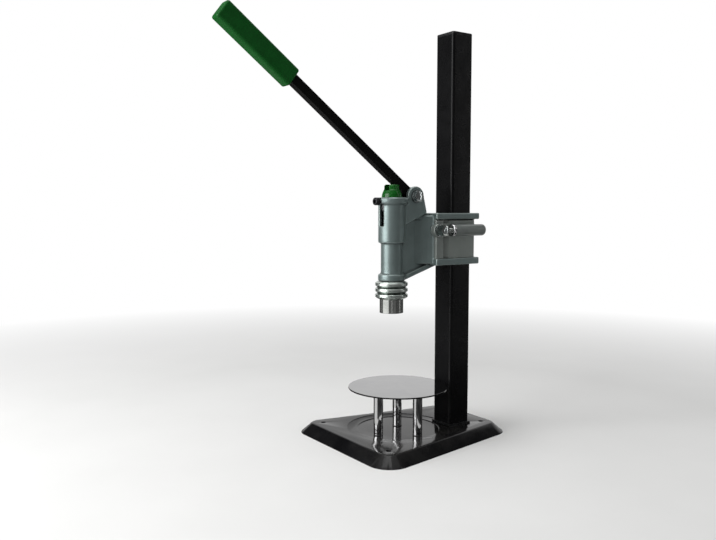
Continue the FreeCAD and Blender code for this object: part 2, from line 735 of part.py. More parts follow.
head = body("head_casting")
turned(head, "barrel", [
    (0, S.barrel_bottom), (S.barrel_foot_radius, S.barrel_bottom),
    (S.barrel_foot_radius, S.barrel_bottom + S.barrel_foot),
    (S.barrel_neck_radius, S.barrel_bottom + S.barrel_foot), (S.barrel_neck_radius, S.barrel_step),
    (S.barrel_radius, S.barrel_step), (S.barrel_radius, S.rim_bottom), (S.rim_radius, S.rim_bottom),
    (S.rim_radius, S.rim_top), (0, S.rim_top)])
rounded(head, "rim_round", (S.rim_radius - S.barrel_radius) * 0.85,
        lambda e: round_edge(e, S.rim_radius))
rounded(head, "collar_round", S.barrel_foot * 0.2, lambda e: round_edge(e, S.barrel_foot_radius))
rounded(head, "barrel_shoulder", S.barrel_foot * 0.15,
        lambda e: round_edge(e, S.barrel_radius) and level(e, S.barrel_step))
foot_y = S.barrel_foot_radius * 0.8
# web panel from the barrel to the clamp block
sk = sketch(head, "web_outline", "YZ_Plane")
web_low = S.barrel_bottom + S.web_rise
web_end = S.clamp_front + S.web_lap
outline(sk, [(0, web_low), (foot_y, web_low), (web_end, S.flange_bottom), (web_end, S.flange_top),
             (0, S.flange_top)])
pad(head, "web", sk, S.web_thick, both=True)
# the lower edge rib and the upper edge rib of the web
sk = sketch(head, "lower_rib_outline", "YZ_Plane")
rib_start = foot_y - S.rib_depth
outline(sk, [(rib_start, web_low), (foot_y, web_low), (web_end, S.flange_bottom),
             (web_end, S.flange_bottom + S.rib_depth), (foot_y, web_low + S.rib_depth),
             (rib_start, web_low + S.rib_depth)])
pad(head, "lower_rib", sk, S.rib_width, both=True)
ear_foot = S.clamp_front - S.ear_foot
sk = sketch(head, "upper_rib_outline", "YZ_Plane")
rectangle(sk, S.barrel_radius, upper_under, S.clamp_front + S.rib_depth, S.flange_top)
pad(head, "upper_rib", sk, S.rib_width, both=True)
# ears for the lever pivot
sk = sketch(head, "ear_outline", "YZ_Plane")
ear_low = S.rim_bottom - S.ear_width * 1.3
outline(sk, [(S.spring_bore * 0.6, ear_low), (pivot_y + 3, S.flange_top - S.rib_depth),
             (ear_foot, S.flange_top), (pivot_y + S.ear_radius, pivot_z),
             (pivot_y - S.ear_radius, pivot_z), (pivot_y - S.ear_radius, S.rim_bottom),
             (S.spring_bore * 0.6, S.rim_bottom)])
pad(head, "ear_sides", sk, S.ear_width, both=True)
sk = sketch(head, "ear_eye_outline", "YZ_Plane")
circle(sk, S.ear_radius, pivot_y, pivot_z)
pad(head, "ear_eyes", sk, S.ear_width, both=True)
# clamp: front block, closed cheek on one side, rear wall, and a flange above and below
sk = sketch(head, "clamp_outline", height=lower_over)
cheek = -cheek_face
outline(sk, [(cheek, S.clamp_front), (jaw_inner, S.clamp_front), (jaw_inner, S.column_back - jaw_inner),
             (-jaw_inner, S.column_back - jaw_inner), (-jaw_inner, S.column_back + jaw_inner),
             (half, S.column_back + jaw_inner), (half, S.clamp_rear), (cheek, S.clamp_rear)])
pad(head, "clamp_walls", sk, upper_under - lower_over)
for name, low, thick in (("lower_flange", S.flange_bottom, S.lower_flange),
                         ("upper_flange", upper_under, S.upper_flange)):
    sk = sketch(head, name + "_outline", height=low)
    rectangle(sk, -S.clamp_half, S.clamp_front, S.clamp_half, S.flange_rear)
    rectangle(sk, -jaw_inner, S.column_back - jaw_inner, jaw_inner, S.column_back + jaw_inner)
    pad(head, name, sk, thick)
    rounded(head, name + "_corners", S.flange_corner,
            lambda e: upright(e) and near(abs(mid(e).x), S.clamp_half)
            and near(mid(e).y, S.flange_rear) and near(mid(e).z, low + thick / 2, 0.5))


def web_edge(edge):
    """True for a long upright edge where the web's side meets another face."""
    return upright(edge) and near(abs(mid(edge).x), S.web_thick / 2) and edge.Length > S.web_thick.value * 2


rounded(head, "web_barrel_round", S.web_round, lambda e: web_edge(e) and mid(e).y < pivot_y.value)
rounded(head, "web_clamp_round", S.web_clamp_round, lambda e: web_edge(e) and mid(e).y > pivot_y.value)
# boss for the clamp screw on the front block
sk = sketch(head, "block_boss_outline", "YZ_Plane", height=cheek)
circle(sk, S.boss_radius, S.clamp_screw_back, S.clamp_screw_height)
pad(head, "block_boss", sk, jaw_inner - cheek)
sk = sketch(head, "screw_hole_place", "YZ_Plane", height=cheek - 1)
circle(sk, S.clamp_screw_size / 2 + S.screw_hole_fit, S.clamp_screw_back, S.clamp_screw_height)
pocket(head, "screw_hole", sk, jaw_inner - cheek + 2, up=True)
# bores, lever gap, pivot hole and guide slot
bored(head, "ram_bores", [
    (0, S.barrel_bottom - 1), (S.bush_bore, S.barrel_bottom - 1), (S.bush_bore, S.spring_floor),
    (S.spring_bore, S.spring_floor), (S.spring_bore, S.rim_top + 1), (0, S.rim_top + 1)])
sk = sketch(head, "lever_gap_outline", "YZ_Plane")
rectangle(sk, S.spring_bore * 0.5, S.gap_floor, S.clamp_front, pivot_z + S.ear_radius + 1)
pocket(head, "lever_gap", sk, S.lever_gap, both=True)
sk = sketch(head, "pivot_hole_place", "YZ_Plane")
circle(sk, S.pivot_bolt / 2 + S.screw_hole_fit * 0.4, pivot_y, pivot_z)
pocket(head, "pivot_hole", sk, S.ear_width + 2, both=True)
sk = sketch(head, "guide_slot_outline", "XZ_Plane", height=S.spring_bore * 0.5)
slot_half = S.slot_width / 2
notch_half = S.guide_screw_size / 2 + S.screw_hole_fit
outline(sk, [(-slot_half, S.slot_bottom), (slot_half, S.slot_bottom), (slot_half, S.rim_bottom),
             (notch_half, S.rim_bottom), (notch_half, S.rim_top + 1), (-notch_half, S.rim_top + 1),
             (-notch_half, S.rim_bottom), (-slot_half, S.rim_bottom)])
pocket(head, "guide_slot", sk, S.rim_radius, up=True)
keep(head)

# Clamp jaw, screw and lever
jaw = body("clamp_jaw")
jaw_low = lower_over + S.jaw_gap
jaw_high = upper_under - S.jaw_gap
sk = sketch(jaw, "jaw_outline", height=jaw_low)
groove_rear = S.jaw_groove_front + S.jaw_groove_width
groove_floor = cheek_face - S.jaw_groove_depth
back_face = jaw_inner + S.jaw_gap
outline(sk, [(back_face, S.clamp_front), (cheek_face, S.clamp_front), (cheek_face, S.jaw_groove_front),
             (groove_floor, S.jaw_groove_front), (groove_floor, groove_rear), (cheek_face, groove_rear),
             (cheek_face, S.jaw_rear), (half + S.slide_fit * 0.5, S.jaw_rear),
             (half + S.slide_fit * 0.5, S.column_back - half), (back_face, S.column_back - half)])
pad(jaw, "jaw_form", sk, jaw_high - jaw_low)
rounded(jaw, "jaw_edges", S.clamp_inset * 0.6,
        lambda e: upright(e) and near(mid(e).x, cheek_face))
sk = sketch(jaw, "jaw_boss_outline", "YZ_Plane", height=back_face)
circle(sk, S.boss_radius, S.clamp_screw_back, S.clamp_screw_height)
boss_face = cheek_face + S.boss_height
pad(jaw, "jaw_boss", sk, boss_face - back_face)
sk = sketch(jaw, "jaw_hole_place", "YZ_Plane", height=back_face - 1)
circle(sk, S.clamp_screw_size / 2 + S.screw_hole_fit, S.clamp_screw_back, S.clamp_screw_height)
pocket(jaw, "jaw_hole", sk, boss_face - back_face + 2, up=True)
keep(jaw)

nut_start = boss_face + S.washer_thick
nut_end = nut_start + S.clamp_nut
screw = body("clamp_screw", cheek, S.clamp_screw_back, S.clamp_screw_height)
sk = sketch(screw, "screw_head_outline", "YZ_Plane")
hexagon(sk, S.hex_flats)
pad(screw, "screw_head", sk, S.hex_head, down=True)
sk = sketch(screw, "screw_shank_outline", "YZ_Plane")
circle(sk, S.clamp_screw_size / 2)
screw_out = nut_end - cheek + S.clamp_screw_show
pad(screw, "screw_shank", sk, screw_out)
bevelled(screw, "screw_point", S.clamp_screw_size * 0.08,
         lambda e: round_edge(e, S.clamp_screw_size / 2) and near(mid(e).x, screw_out))
keep(screw)

clamp_washer = body("clamp_washer", boss_face, S.clamp_screw_back, S.clamp_screw_height)
sk = sketch(clamp_washer, "washer_outline", "YZ_Plane")
circle(sk, S.washer_radius)
circle(sk, S.clamp_screw_size / 2 + S.screw_hole_fit)
pad(clamp_washer, "washer_form", sk, S.washer_thick)
keep(clamp_washer)

# lever nut: a long hexagon nut with a rod welded to one flat; the rod points to the rear
rod_x = S.clamp_nut / 2
lever_nut = body("clamp_lever_nut", nut_start, S.clamp_screw_back, S.clamp_screw_height)
sk = sketch(lever_nut, "nut_outline", "YZ_Plane")
hexagon(sk, S.hex_flats)
pad(lever_nut, "nut_form", sk, S.clamp_nut)
sk = sketch(lever_nut, "rod_outline", "XZ_Plane")
circle(sk, S.tommy_radius, rod_x, 0)
pad(lever_nut, "rod", sk, S.tommy_length, down=True)
bevelled(lever_nut, "rod_point", S.tommy_radius * 0.2,
         lambda e: round_edge(e, S.tommy_radius) and near(mid(e).y, S.tommy_length))
sk = sketch(lever_nut, "nut_bore_outline", "YZ_Plane")
circle(sk, S.clamp_screw_size / 2 + S.thread_fit)
pocket(lever_nut, "nut_bore", sk, S.clamp_nut, up=True)
keep(lever_nut)

grip_ring = body("clamp_grip_ring", nut_start + rod_x, S.clamp_screw_back, S.clamp_screw_height)
ring_y0 = S.clamp_grip_start - S.grip_ring
sk = sketch(grip_ring, "grip_ring_outline", "XZ_Plane", height=-ring_y0)
circle(sk, S.clamp_grip_radius + 0.5)
circle(sk, S.tommy_radius + S.thread_fit)
pad(grip_ring, "grip_ring_form", sk, S.grip_ring, down=True)
rounded(grip_ring, "grip_ring_round", S.grip_ring * 0.35, lambda e: round_edge(e, S.clamp_grip_radius + 0.5))
keep(grip_ring)

clamp_grip = body("clamp_grip", nut_start + rod_x, S.clamp_screw_back, S.clamp_screw_height)
sk = sketch(clamp_grip, "clamp_grip_outline", "XZ_Plane", height=-S.clamp_grip_start)
circle(sk, S.clamp_grip_radius)
pad(clamp_grip, "clamp_grip_form", sk, S.clamp_grip_end - S.clamp_grip_start, down=True)
rounded(clamp_grip, "clamp_grip_end_round", S.clamp_grip_radius * 0.4,
        lambda e: round_edge(e, S.clamp_grip_radius) and mid(e).y > S.clamp_grip_end.value - 1)
sk = sketch(clamp_grip, "clamp_grip_bore_outline", "XZ_Plane", height=-S.clamp_grip_start)
circle(sk, S.tommy_radius + S.thread_fit)
pocket(clamp_grip, "clamp_grip_bore", sk, S.tommy_length - S.clamp_grip_start + 0.5)
keep(clamp_grip)

# Lever
# Drawn level in its own frame: the pivot at the origin, the bar along -Y, then turned up.
turn = math.radians(S.lever_angle.value)
nose_high = S.cap_slot_floor + S.nose_gap + S.nose_radius - pivot_z
cosine = Size(f"cos({S.lever_angle.text} * 1 deg)", math.cos(turn))
sine = Size(f"sin({S.lever_angle.text} * 1 deg)", math.sin(turn))
nose_reach = pivot_y - S.nose_back
nose_out = nose_reach * cosine + nose_high * sine
nose_up = nose_high * cosine - nose_reach * sine
bar_half = S.lever_bar / 2

lever = body("lever_bar")
place(lever, 0, pivot_y, pivot_z, Vector(1, 0, 0), -S.lever_angle)
sk = sketch(lever, "bar_outline", "YZ_Plane")
rectangle(sk, -S.lever_length, -bar_half, -S.blade_end, bar_half)
pad(lever, "bar", sk, S.lever_bar, both=True)
rounded(lever, "bar_edges", S.lever_round, lambda e: near(e.Length, S.lever_length - S.blade_end))
sk = sketch(lever, "blade_outline", "YZ_Plane")
rectangle(sk, -S.blade_end - S.lever_round, -bar_half, 0, bar_half)
pad(lever, "blade", sk, S.blade_thick, both=True)
sk = sketch(lever, "eye_outline", "YZ_Plane")
circle(sk, S.eye_radius)
pad(lever, "eye", sk, S.blade_thick, both=True)
sk = sketch(lever, "nose_web_outline", "YZ_Plane")
toe = S.lever_angle + S.toe_relief
toe_sine = Size(f"sin({toe.text} * 1 deg)", math.sin(math.radians(toe.value)))
toe_cosine = Size(f"cos({toe.text} * 1 deg)", math.cos(math.radians(toe.value)))
toe_y = S.nose_radius * toe_sine - nose_out
toe_z = nose_up - S.nose_radius * toe_cosine
toe_run = (-bar_half - toe_z) * toe_cosine / toe_sine
outline(sk, [(toe_y, toe_z), (toe_y + toe_run, -bar_half), (toe_y + toe_run, 0),
             (-nose_out - S.nose_radius * 1.25, 0), (-nose_out - S.nose_radius * 1.25, -bar_half),
             (-nose_out - S.nose_radius, nose_up)])
pad(lever, "nose_web", sk, S.blade_thick, both=True)
sk = sketch(lever, "nose_outline", "YZ_Plane")
circle(sk, S.nose_radius, -nose_out, nose_up)
pad(lever, "nose", sk, S.blade_thick, both=True)
sk = sketch(lever, "bush_hole_outline", "YZ_Plane")
circle(sk, S.pivot_bush / 2)
pocket(lever, "bush_hole", sk, S.blade_thick + 2, both=True)
keep(lever)

grip = body("lever_grip")
place(grip, 0, pivot_y, pivot_z, Vector(1, 0, 0), -S.lever_angle)
sk = sketch(grip, "grip_outline", "XZ_Plane", height=S.grip_start)
rectangle(sk, -S.grip_width / 2, -S.grip_height / 2 - S.grip_drop, S.grip_width / 2,
          S.grip_height / 2 - S.grip_drop)
pad(grip, "grip_form", sk, S.grip_end - S.grip_start)
rounded(grip, "grip_long_edges", S.grip_round,
        lambda e: near(e.Length, S.grip_end - S.grip_start))
rounded(grip, "grip_ends", S.grip_tip_round,
        lambda e: isinstance(e.Curve, (Part.Line, Part.Circle)) and e.Length < S.grip_height.value)
sk = sketch(grip, "grip_bore_outline", "XZ_Plane", height=S.grip_start)
bore_half = bar_half + S.thread_fit
rectangle(sk, -bore_half, -bore_half, bore_half, bore_half)
pocket(grip, "grip_bore", sk, S.lever_length - S.grip_start + 0.5, up=True)
keep(grip)

bush = body("pivot_bush", 0, pivot_y, pivot_z)
sk = sketch(bush, "pivot_bush_outline", "YZ_Plane")
circle(sk, S.pivot_bush / 2 - 0.01)
circle(sk, S.pivot_bolt / 2 + S.running_fit)
pad(bush, "pivot_bush_form", sk, S.blade_thick + 0.4, both=True)
keep(bush)

ear_face = S.ear_width / 2
pivot = body("pivot_bolt", ear_face + S.washer_thick, pivot_y, pivot_z)
sk = sketch(pivot, "pivot_head_outline", "YZ_Plane")
hexagon(sk, S.hex_flats)
pad(pivot, "pivot_head", sk, S.hex_head)
bevelled(pivot, "pivot_head_edge", S.hex_head * 0.15,
         lambda e: near(mid(e).x, S.hex_head) and near(e.BoundBox.XLength, 0))
sk = sketch(pivot, "pivot_shank_outline", "YZ_Plane")
circle(sk, S.pivot_bolt / 2)
pad(pivot, "pivot_shank", sk, S.ear_width + S.washer_thick * 2 + S.lock_nut + 2, down=True)
keep(pivot)

pivot_nut = body("pivot_nut", -ear_face - S.washer_thick, pivot_y, pivot_z)
sk = sketch(pivot_nut, "pivot_nut_outline", "YZ_Plane")
hexagon(sk, S.hex_flats)
pad(pivot_nut, "pivot_nut_form", sk, S.lock_nut, down=True)
sk = sketch(pivot_nut, "pivot_nut_bore_outline", "YZ_Plane")
circle(sk, S.pivot_bolt / 2 + S.thread_fit)
pocket(pivot_nut, "pivot_nut_bore", sk, S.lock_nut)
keep(pivot_nut)

pivot_washers = []
for number, x in ((1, ear_face), (2, -ear_face - S.washer_thick)):
    made = ring(f"pivot_washer_{number}", S.washer_radius, S.pivot_bolt / 2 + S.screw_hole_fit * 0.4,
                S.washer_thick)
    place(made, x, pivot_y, pivot_z, Vector(0, 1, 0), 90)
    pivot_washers.append(made)
group("pivot_washers", pivot_washers)

# Ram
piston_radius = S.spring_bore - S.running_fit
dome_middle = (S.cap_base_radius + S.cap_shoulder_radius) / 2 + S.dome_bulge
ram_cap = body("ram_cap")
turned(ram_cap, "cap_form", [
    (0, S.cap_seat), (S.cap_base_radius, S.cap_seat), (S.cap_base_radius, S.cap_dome_base),
    (dome_middle, S.cap_dome_base + S.dome_height / 2), (S.cap_shoulder_radius, S.cap_slot_floor),
    (S.cap_top_radius, S.cap_slot_floor + S.prong_height * 0.2), (S.cap_top_radius, S.cap_top),
    (0, S.cap_top)])
rounded(ram_cap, "cap_top_round", S.cap_top_radius * 0.28, lambda e: level(e, S.cap_top))
sk = sketch(ram_cap, "nose_slot_outline", "XZ_Plane")
nose_slot = S.blade_thick / 2 + S.cap_slot_fit
rectangle(sk, -nose_slot, S.cap_slot_floor, nose_slot, S.cap_top + 1)
pocket(ram_cap, "nose_slot", sk, S.spring_bore * 2 + 2, both=True)
stud_top = S.cap_seat + S.ram_stud_length
bored(ram_cap, "stud_hole", [
    (0, S.cap_seat - 1), (S.ram_stud + S.thread_fit, S.cap_seat - 1),
    (S.ram_stud + S.thread_fit, stud_top + 0.5), (0, stud_top + 0.5)])
keep(ram_cap)

ram = body("ram_shaft")
thread_low = S.crimp_bottom + S.socket_depth + 0.5
turned(ram, "ram_form", [
    (0, thread_low), (S.ram_thread, thread_low), (S.ram_thread, S.crimp_top), (S.ram_radius, S.crimp_top),
    (S.ram_radius, S.piston_bottom), (piston_radius, S.piston_bottom), (piston_radius, S.cap_seat),
    (S.ram_stud, S.cap_seat), (S.ram_stud, stud_top), (0, stud_top)])
sk = sketch(ram, "guide_hole_place", "XZ_Plane", height=S.ram_stud + 1)
circle(sk, S.guide_screw_size / 2 + S.thread_fit, 0, S.guide_screw_height)
pocket(ram, "guide_hole", sk, S.spring_bore, up=True)
keep(ram)

guide = body("guide_screw", 0, 0, S.guide_screw_height)
head_in = S.rim_radius + S.guide_head_gap
sk = sketch(guide, "guide_shank_outline", "XZ_Plane", height=S.ram_stud + 1.5)
circle(sk, S.guide_screw_size / 2)
pad(guide, "guide_shank", sk, head_in - S.ram_stud - 1.5)
sk = sketch(guide, "guide_head_outline", "XZ_Plane", height=head_in)
circle(sk, S.guide_screw_head / 2)
pad(guide, "guide_head", sk, S.guide_screw_head_length)
rounded(guide, "guide_head_round", S.guide_screw_head * 0.12,
        lambda e: round_edge(e, S.guide_screw_head / 2) and mid(e).y < -(head_in.value + 1))
sk = sketch(guide, "key_hole_outline", "XZ_Plane", height=head_in + S.guide_screw_head_length)
hexagon(sk, S.guide_screw_size * 0.83)
pocket(guide, "key_hole", sk, S.guide_screw_head_length * 0.55)
keep(guide)


def coil(name, radius, wire, low, high, turns):
    """An open coil of round wire between two seats."""
    made = body(name, 0, 0, low + wire / 2)
    sk = sketch(made, name + "_wire", "XZ_Plane")
    circle(sk, wire / 2, radius, 0)
    helix = made.newObject("PartDesign::AdditiveHelix", name + "_form")
    helix.Profile = sk
    helix.ReferenceAxis = (sk, ["V_Axis"])
    helix.Mode = 2
    helix.Height = (high - low - wire).value
    helix.Turns = turns.value
    helix.HasBeenEdited = True
    bind(helix, "Height", high - low - wire)
    bind(helix, "Turns", turns)
    doc.recompute()
    return keep(made)


seat = body("spring_seat", 0, 0, S.spring_floor)
sk = sketch(seat, "seat_outline")
circle(sk, S.spring_bore - 0.2)
circle(sk, S.ram_radius + 0.3)
pad(seat, "seat_form", sk, S.spring_seat)
keep(seat)
coil("return_spring", S.spring_coil_radius, S.spring_wire, S.spring_floor + S.spring_seat, S.piston_bottom,
     S.spring_turns)

bushes = []
for number, low in ((1, S.barrel_bottom), (2, S.spring_floor - S.bush_length)):
    bushes.append(ring(f"ram_bush_{number}", S.bush_bore - 0.01, S.ram_radius + S.running_fit,
                       S.bush_length, 0, 0, low))
group("ram_bushes", bushes)

# Crimp head
crimp = body("crimp_body")
rib = (S.crimp_top - S.crimp_bottom) / 3
profile = [(0, S.crimp_bottom)]
for i in range(3):
    low = S.crimp_bottom + rib * i
    profile += [(S.crimp_root_radius, low), (S.crimp_rib_radius, low + rib * 0.28),
                (S.crimp_rib_radius, low + rib * 0.72)]
profile += [(S.crimp_root_radius, S.crimp_top), (0, S.crimp_top)]
turned(crimp, "ribbed_form", profile)
rounded(crimp, "rib_rounds", rib * 0.2, lambda e: round_edge(e, S.crimp_rib_radius))
socket_top = S.crimp_bottom + S.socket_depth
bored(crimp, "crimp_bores", [
    (0, S.crimp_bottom - 1), (S.socket_radius, S.crimp_bottom - 1), (S.socket_radius, socket_top),
    (S.ram_thread + S.thread_fit, socket_top), (S.ram_thread + S.thread_fit, S.crimp_top + 1),
    (0, S.crimp_top + 1)])
keep(crimp)

sleeve = body("crimp_sleeve")
spigot = S.socket_radius - S.thread_fit
sleeve_top = socket_top - 0.5
turned(sleeve, "sleeve_form", [
    (S.mouth_radius, S.sleeve_bottom), (S.sleeve_radius, S.sleeve_bottom),
    (S.sleeve_radius, S.crimp_bottom), (spigot, S.crimp_bottom), (spigot, sleeve_top),
    (S.sleeve_bore, sleeve_top), (S.sleeve_bore, S.sleeve_ledge), (S.ledge_bore, S.sleeve_ledge),
    (S.ledge_bore, S.sleeve_ledge - S.ledge_thick)])
rounded(sleeve, "mouth_round", S.thread_fit * 8,
        lambda e: round_edge(e, S.sleeve_radius) and level(e, S.sleeve_bottom))
keep(sleeve)

collet = body("crimp_collet")
collet_low = S.sleeve_bottom + S.collet_lip
flange_low = S.sleeve_ledge + 0.1
tube_outer = S.collet_bore + S.collet_wall
turned(collet, "collet_form", [
    (S.collet_bore, collet_low), (S.collet_head_radius, collet_low),
    (S.collet_head_radius, collet_low + S.collet_head),
    (tube_outer, S.sleeve_ledge - S.ledge_thick - S.collet_travel - 0.2), (tube_outer, flange_low),
    (S.sleeve_bore - S.running_fit, flange_low),
    (S.sleeve_bore - S.running_fit, flange_low + S.collet_flange),
    (S.collet_bore, flange_low + S.collet_flange)])
sk = sketch(collet, "slit_outline", "XZ_Plane")
slit_top = S.sleeve_ledge - S.ledge_thick
rectangle(sk, -S.collet_slit / 2, collet_low - 1, S.collet_slit / 2, slit_top)
slit = pocket(collet, "slit", sk, S.collet_head_radius + 2)
polar(collet, "slits", slit, S.collet_fingers)
keep(collet)

coil("collet_spring", S.sleeve_bore - S.collet_wire / 2 - 0.3, S.collet_wire, flange_low + S.collet_flange,
     socket_top, S.collet_turns)

# Bottle stand
floor = S.base_height - S.ring_step * 2
plate_under = S.stand_top - S.stand_plate
leg_bore = S.leg_radius - S.leg_wall
stand = body("stand_plate")
place(stand, S.stand_shift, S.stand_back, plate_under, Vector(0, 0, 1), S.leg_first)
sk = sketch(stand, "stand_outline")
circle(sk, S.stand_radius)
pad(stand, "stand_disc", sk, S.stand_plate)
rounded(stand, "stand_rim", S.stand_plate * 0.25, lambda e: round_edge(e, S.stand_radius))
sk = sketch(stand, "spigot_outline")
circle(sk, leg_bore - S.thread_fit, S.leg_circle, 0)
spigot_pad = pad(stand, "spigot", sk, S.leg_spigot, down=True)
polar(stand, "spigots", spigot_pad, 3)
keep(stand)

leg_length = plate_under - floor - S.leg_pad
for number, label in enumerate(("stand_leg_front", "stand_leg_right", "stand_leg_rear")):
    leg = body(label)
    angle = S.leg_first + 120 * number
    radians = f"({angle.text} * 1 deg)"
    value = math.radians(angle.value)
    leg_x = S.stand_shift + S.leg_circle * Size(f"cos{radians}", math.cos(value))
    leg_y = S.stand_back + S.leg_circle * Size(f"sin{radians}", math.sin(value))
    place(leg, leg_x, leg_y, floor + S.leg_pad)
    sk = sketch(leg, label + "_outline")
    circle(sk, S.leg_radius)
    circle(sk, leg_bore)
    pad(leg, label + "_tube", sk, leg_length)
    keep(leg)

pads = body("leg_pad_one")
sk = sketch(pads, "pad_outline")
circle(sk, S.leg_radius)
pad(pads, "pad_disc", sk, S.leg_pad)
sk = sketch(pads, "pad_plug_outline", height=S.leg_pad)
circle(sk, leg_bore - S.thread_fit)
pad(pads, "pad_plug", sk, S.leg_pad * 4)
copies = []
for number in range(3):
    angle = S.leg_first + 120 * number
    radians = f"({angle.text} * 1 deg)"
    value = math.radians(angle.value)
    link = doc.addObject("App::Link", f"leg_pad_{number + 1}")
    link.LinkedObject = pads
    link.LinkTransform = False
    place(link, S.stand_shift + S.leg_circle * Size(f"cos{radians}", math.cos(value)),
          S.stand_back + S.leg_circle * Size(f"sin{radians}", math.sin(value)), floor)
    copies.append(link)
group("stand_leg_pads", copies)

# Checks and export
doc.recompute()
for obj in doc.Objects:
    if "Invalid" in obj.State or "Error" in obj.State:
        raise RuntimeError(f"{obj.Label} failed: {obj.State}")
os.makedirs("parts", exist_ok=True)
total = 0
for obj in nodes:
    shape = obj.Shape
    if shape.isNull() or not shape.isValid() or not shape.Solids:
        raise RuntimeError(f"{obj.Label} has no valid solid")
    box = shape.BoundBox
    total += len(shape.Solids)
    print(f"{obj.Label:18s} solids {len(shape.Solids)}  volume {shape.Volume:9.0f}  "
          f"x {box.XMin:7.1f} {box.XMax:7.1f}  y {box.YMin:7.1f} {box.YMax:7.1f}  "
          f"z {box.ZMin:7.1f} {box.ZMax:7.1f}")
    shape.exportStep(f"parts/{obj.Label}.step")
print(len(nodes), "nodes", total, "solids")
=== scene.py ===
import json
import math
from contextlib import contextmanager

import bpy
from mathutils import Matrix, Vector


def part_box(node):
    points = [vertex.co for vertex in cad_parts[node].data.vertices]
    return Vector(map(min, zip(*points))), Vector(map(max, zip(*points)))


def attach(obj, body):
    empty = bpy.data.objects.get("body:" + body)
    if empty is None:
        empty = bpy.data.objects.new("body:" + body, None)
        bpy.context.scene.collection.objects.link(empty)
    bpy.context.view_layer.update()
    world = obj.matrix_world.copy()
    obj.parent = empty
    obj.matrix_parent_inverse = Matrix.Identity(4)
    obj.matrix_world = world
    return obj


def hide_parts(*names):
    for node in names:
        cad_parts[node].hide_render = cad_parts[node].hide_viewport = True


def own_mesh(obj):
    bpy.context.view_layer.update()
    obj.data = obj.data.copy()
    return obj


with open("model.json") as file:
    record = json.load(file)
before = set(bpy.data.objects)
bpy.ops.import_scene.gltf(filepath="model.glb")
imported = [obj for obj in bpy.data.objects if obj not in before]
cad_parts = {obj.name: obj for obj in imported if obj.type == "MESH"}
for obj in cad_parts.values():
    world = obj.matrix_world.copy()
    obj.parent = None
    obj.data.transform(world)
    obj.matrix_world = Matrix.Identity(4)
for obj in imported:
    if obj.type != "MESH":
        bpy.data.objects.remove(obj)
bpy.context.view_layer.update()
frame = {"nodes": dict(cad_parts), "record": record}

# %% [markdown]
# This lesson dresses a hand-lever bench crimper. The frame brings one CAD node for each piece that
# comes apart on a bench. Most nodes keep their shape and only get a finish. Where the real piece
# has soft cast edges, pressed folds, threads or ground spring ends, a new mesh is made and takes
# the node's place. All lengths are metres, so a length in millimetres is times MM.

# %% What the frame holds
nodes = frame["nodes"]
MM = 0.001

# %% [markdown]
# The camera stands to the right of the machine, level with its head, and looks a little down. A
# camera can be set by eye, but then the model never lies quite over the photograph. This place
# was worked out from the straight edges of the base and the column, and only its numbers are used
# here.

# %% Camera
EYE = Vector((0.7887, -0.5928, 0.3123))
YAW, DOWN = math.radians(55.62), math.radians(4.65)
SENSOR = 36.0
LENS_OVER_WIDTH = 755.05 / 716

look = Vector((-math.sin(YAW) * math.cos(DOWN), math.cos(YAW) * math.cos(DOWN), -math.sin(DOWN)))
lens = bpy.data.cameras.new("photo_camera")
lens.sensor_width = SENSOR
lens.lens = SENSOR * LENS_OVER_WIDTH
camera = bpy.data.objects.new("photo_camera", lens)
camera.location = EYE
camera.rotation_euler = look.to_track_quat("-Z", "Y").to_euler()
bpy.context.scene.collection.objects.link(camera)
bpy.context.scene.camera = camera
print("camera", tuple(round(v, 3) for v in camera.location), "lens", round(lens.lens, 2), "mm")


# %% [markdown]
# Every material below is a web of nodes. It could be drawn by hand in the shader editor. In a
# script a few short helpers do the same: they add a node, set its fields, and fill each socket
# from a plain value or from another node, so that a material reads like a recipe.

# %% Helper: a web of nodes
class Web:
    """A node tree being built, and the point on the surface that its patterns start from."""

    def __init__(self, tree, point=None):
        self.tree = tree
        self.point = point

    def feed(self, socket, value):
        if isinstance(value, bpy.types.NodeSocket):
            self.tree.links.new(value, socket)
        else:
            socket.default_value = value

    def node(self, kind, inputs=None, **fields):
        node = self.tree.nodes.new("ShaderNode" + kind)
        for field, value in fields.items():
            setattr(node, field, value)
        for label, value in (inputs or {}).items():
            self.feed(node.inputs[label], value)
        return node.outputs

    def math(self, operation, *values):
        return self.node("Math", dict(enumerate(values)), operation=operation)[0]

    def vector(self, operation, *values):
        return self.node("VectorMath", dict(enumerate(values)), operation=operation)

    def noise(self, scale, detail, point=None, **sockets):
        inputs = {"Vector": point or self.point, "Scale": scale, "Detail": detail, **sockets}
        return self.node("TexNoise", inputs)["Fac"]

    def remap(self, value, low, high, to_low=0.0, to_high=1.0):
        """Turns low to high into to_low to to_high, and holds the ends."""
        return self.node("MapRange", {"Value": value, "From Min": low, "From Max": high,
                                      "To Min": to_low, "To Max": to_high})["Result"]



# %% [markdown]
# An effect that several finishes share, such as grain or worn edges, could be copied into each of
# them. As a node group it is built once, and each material sets its own sizes on it. A group
# gives only masks, heights and tones. The shader itself stays in the material.

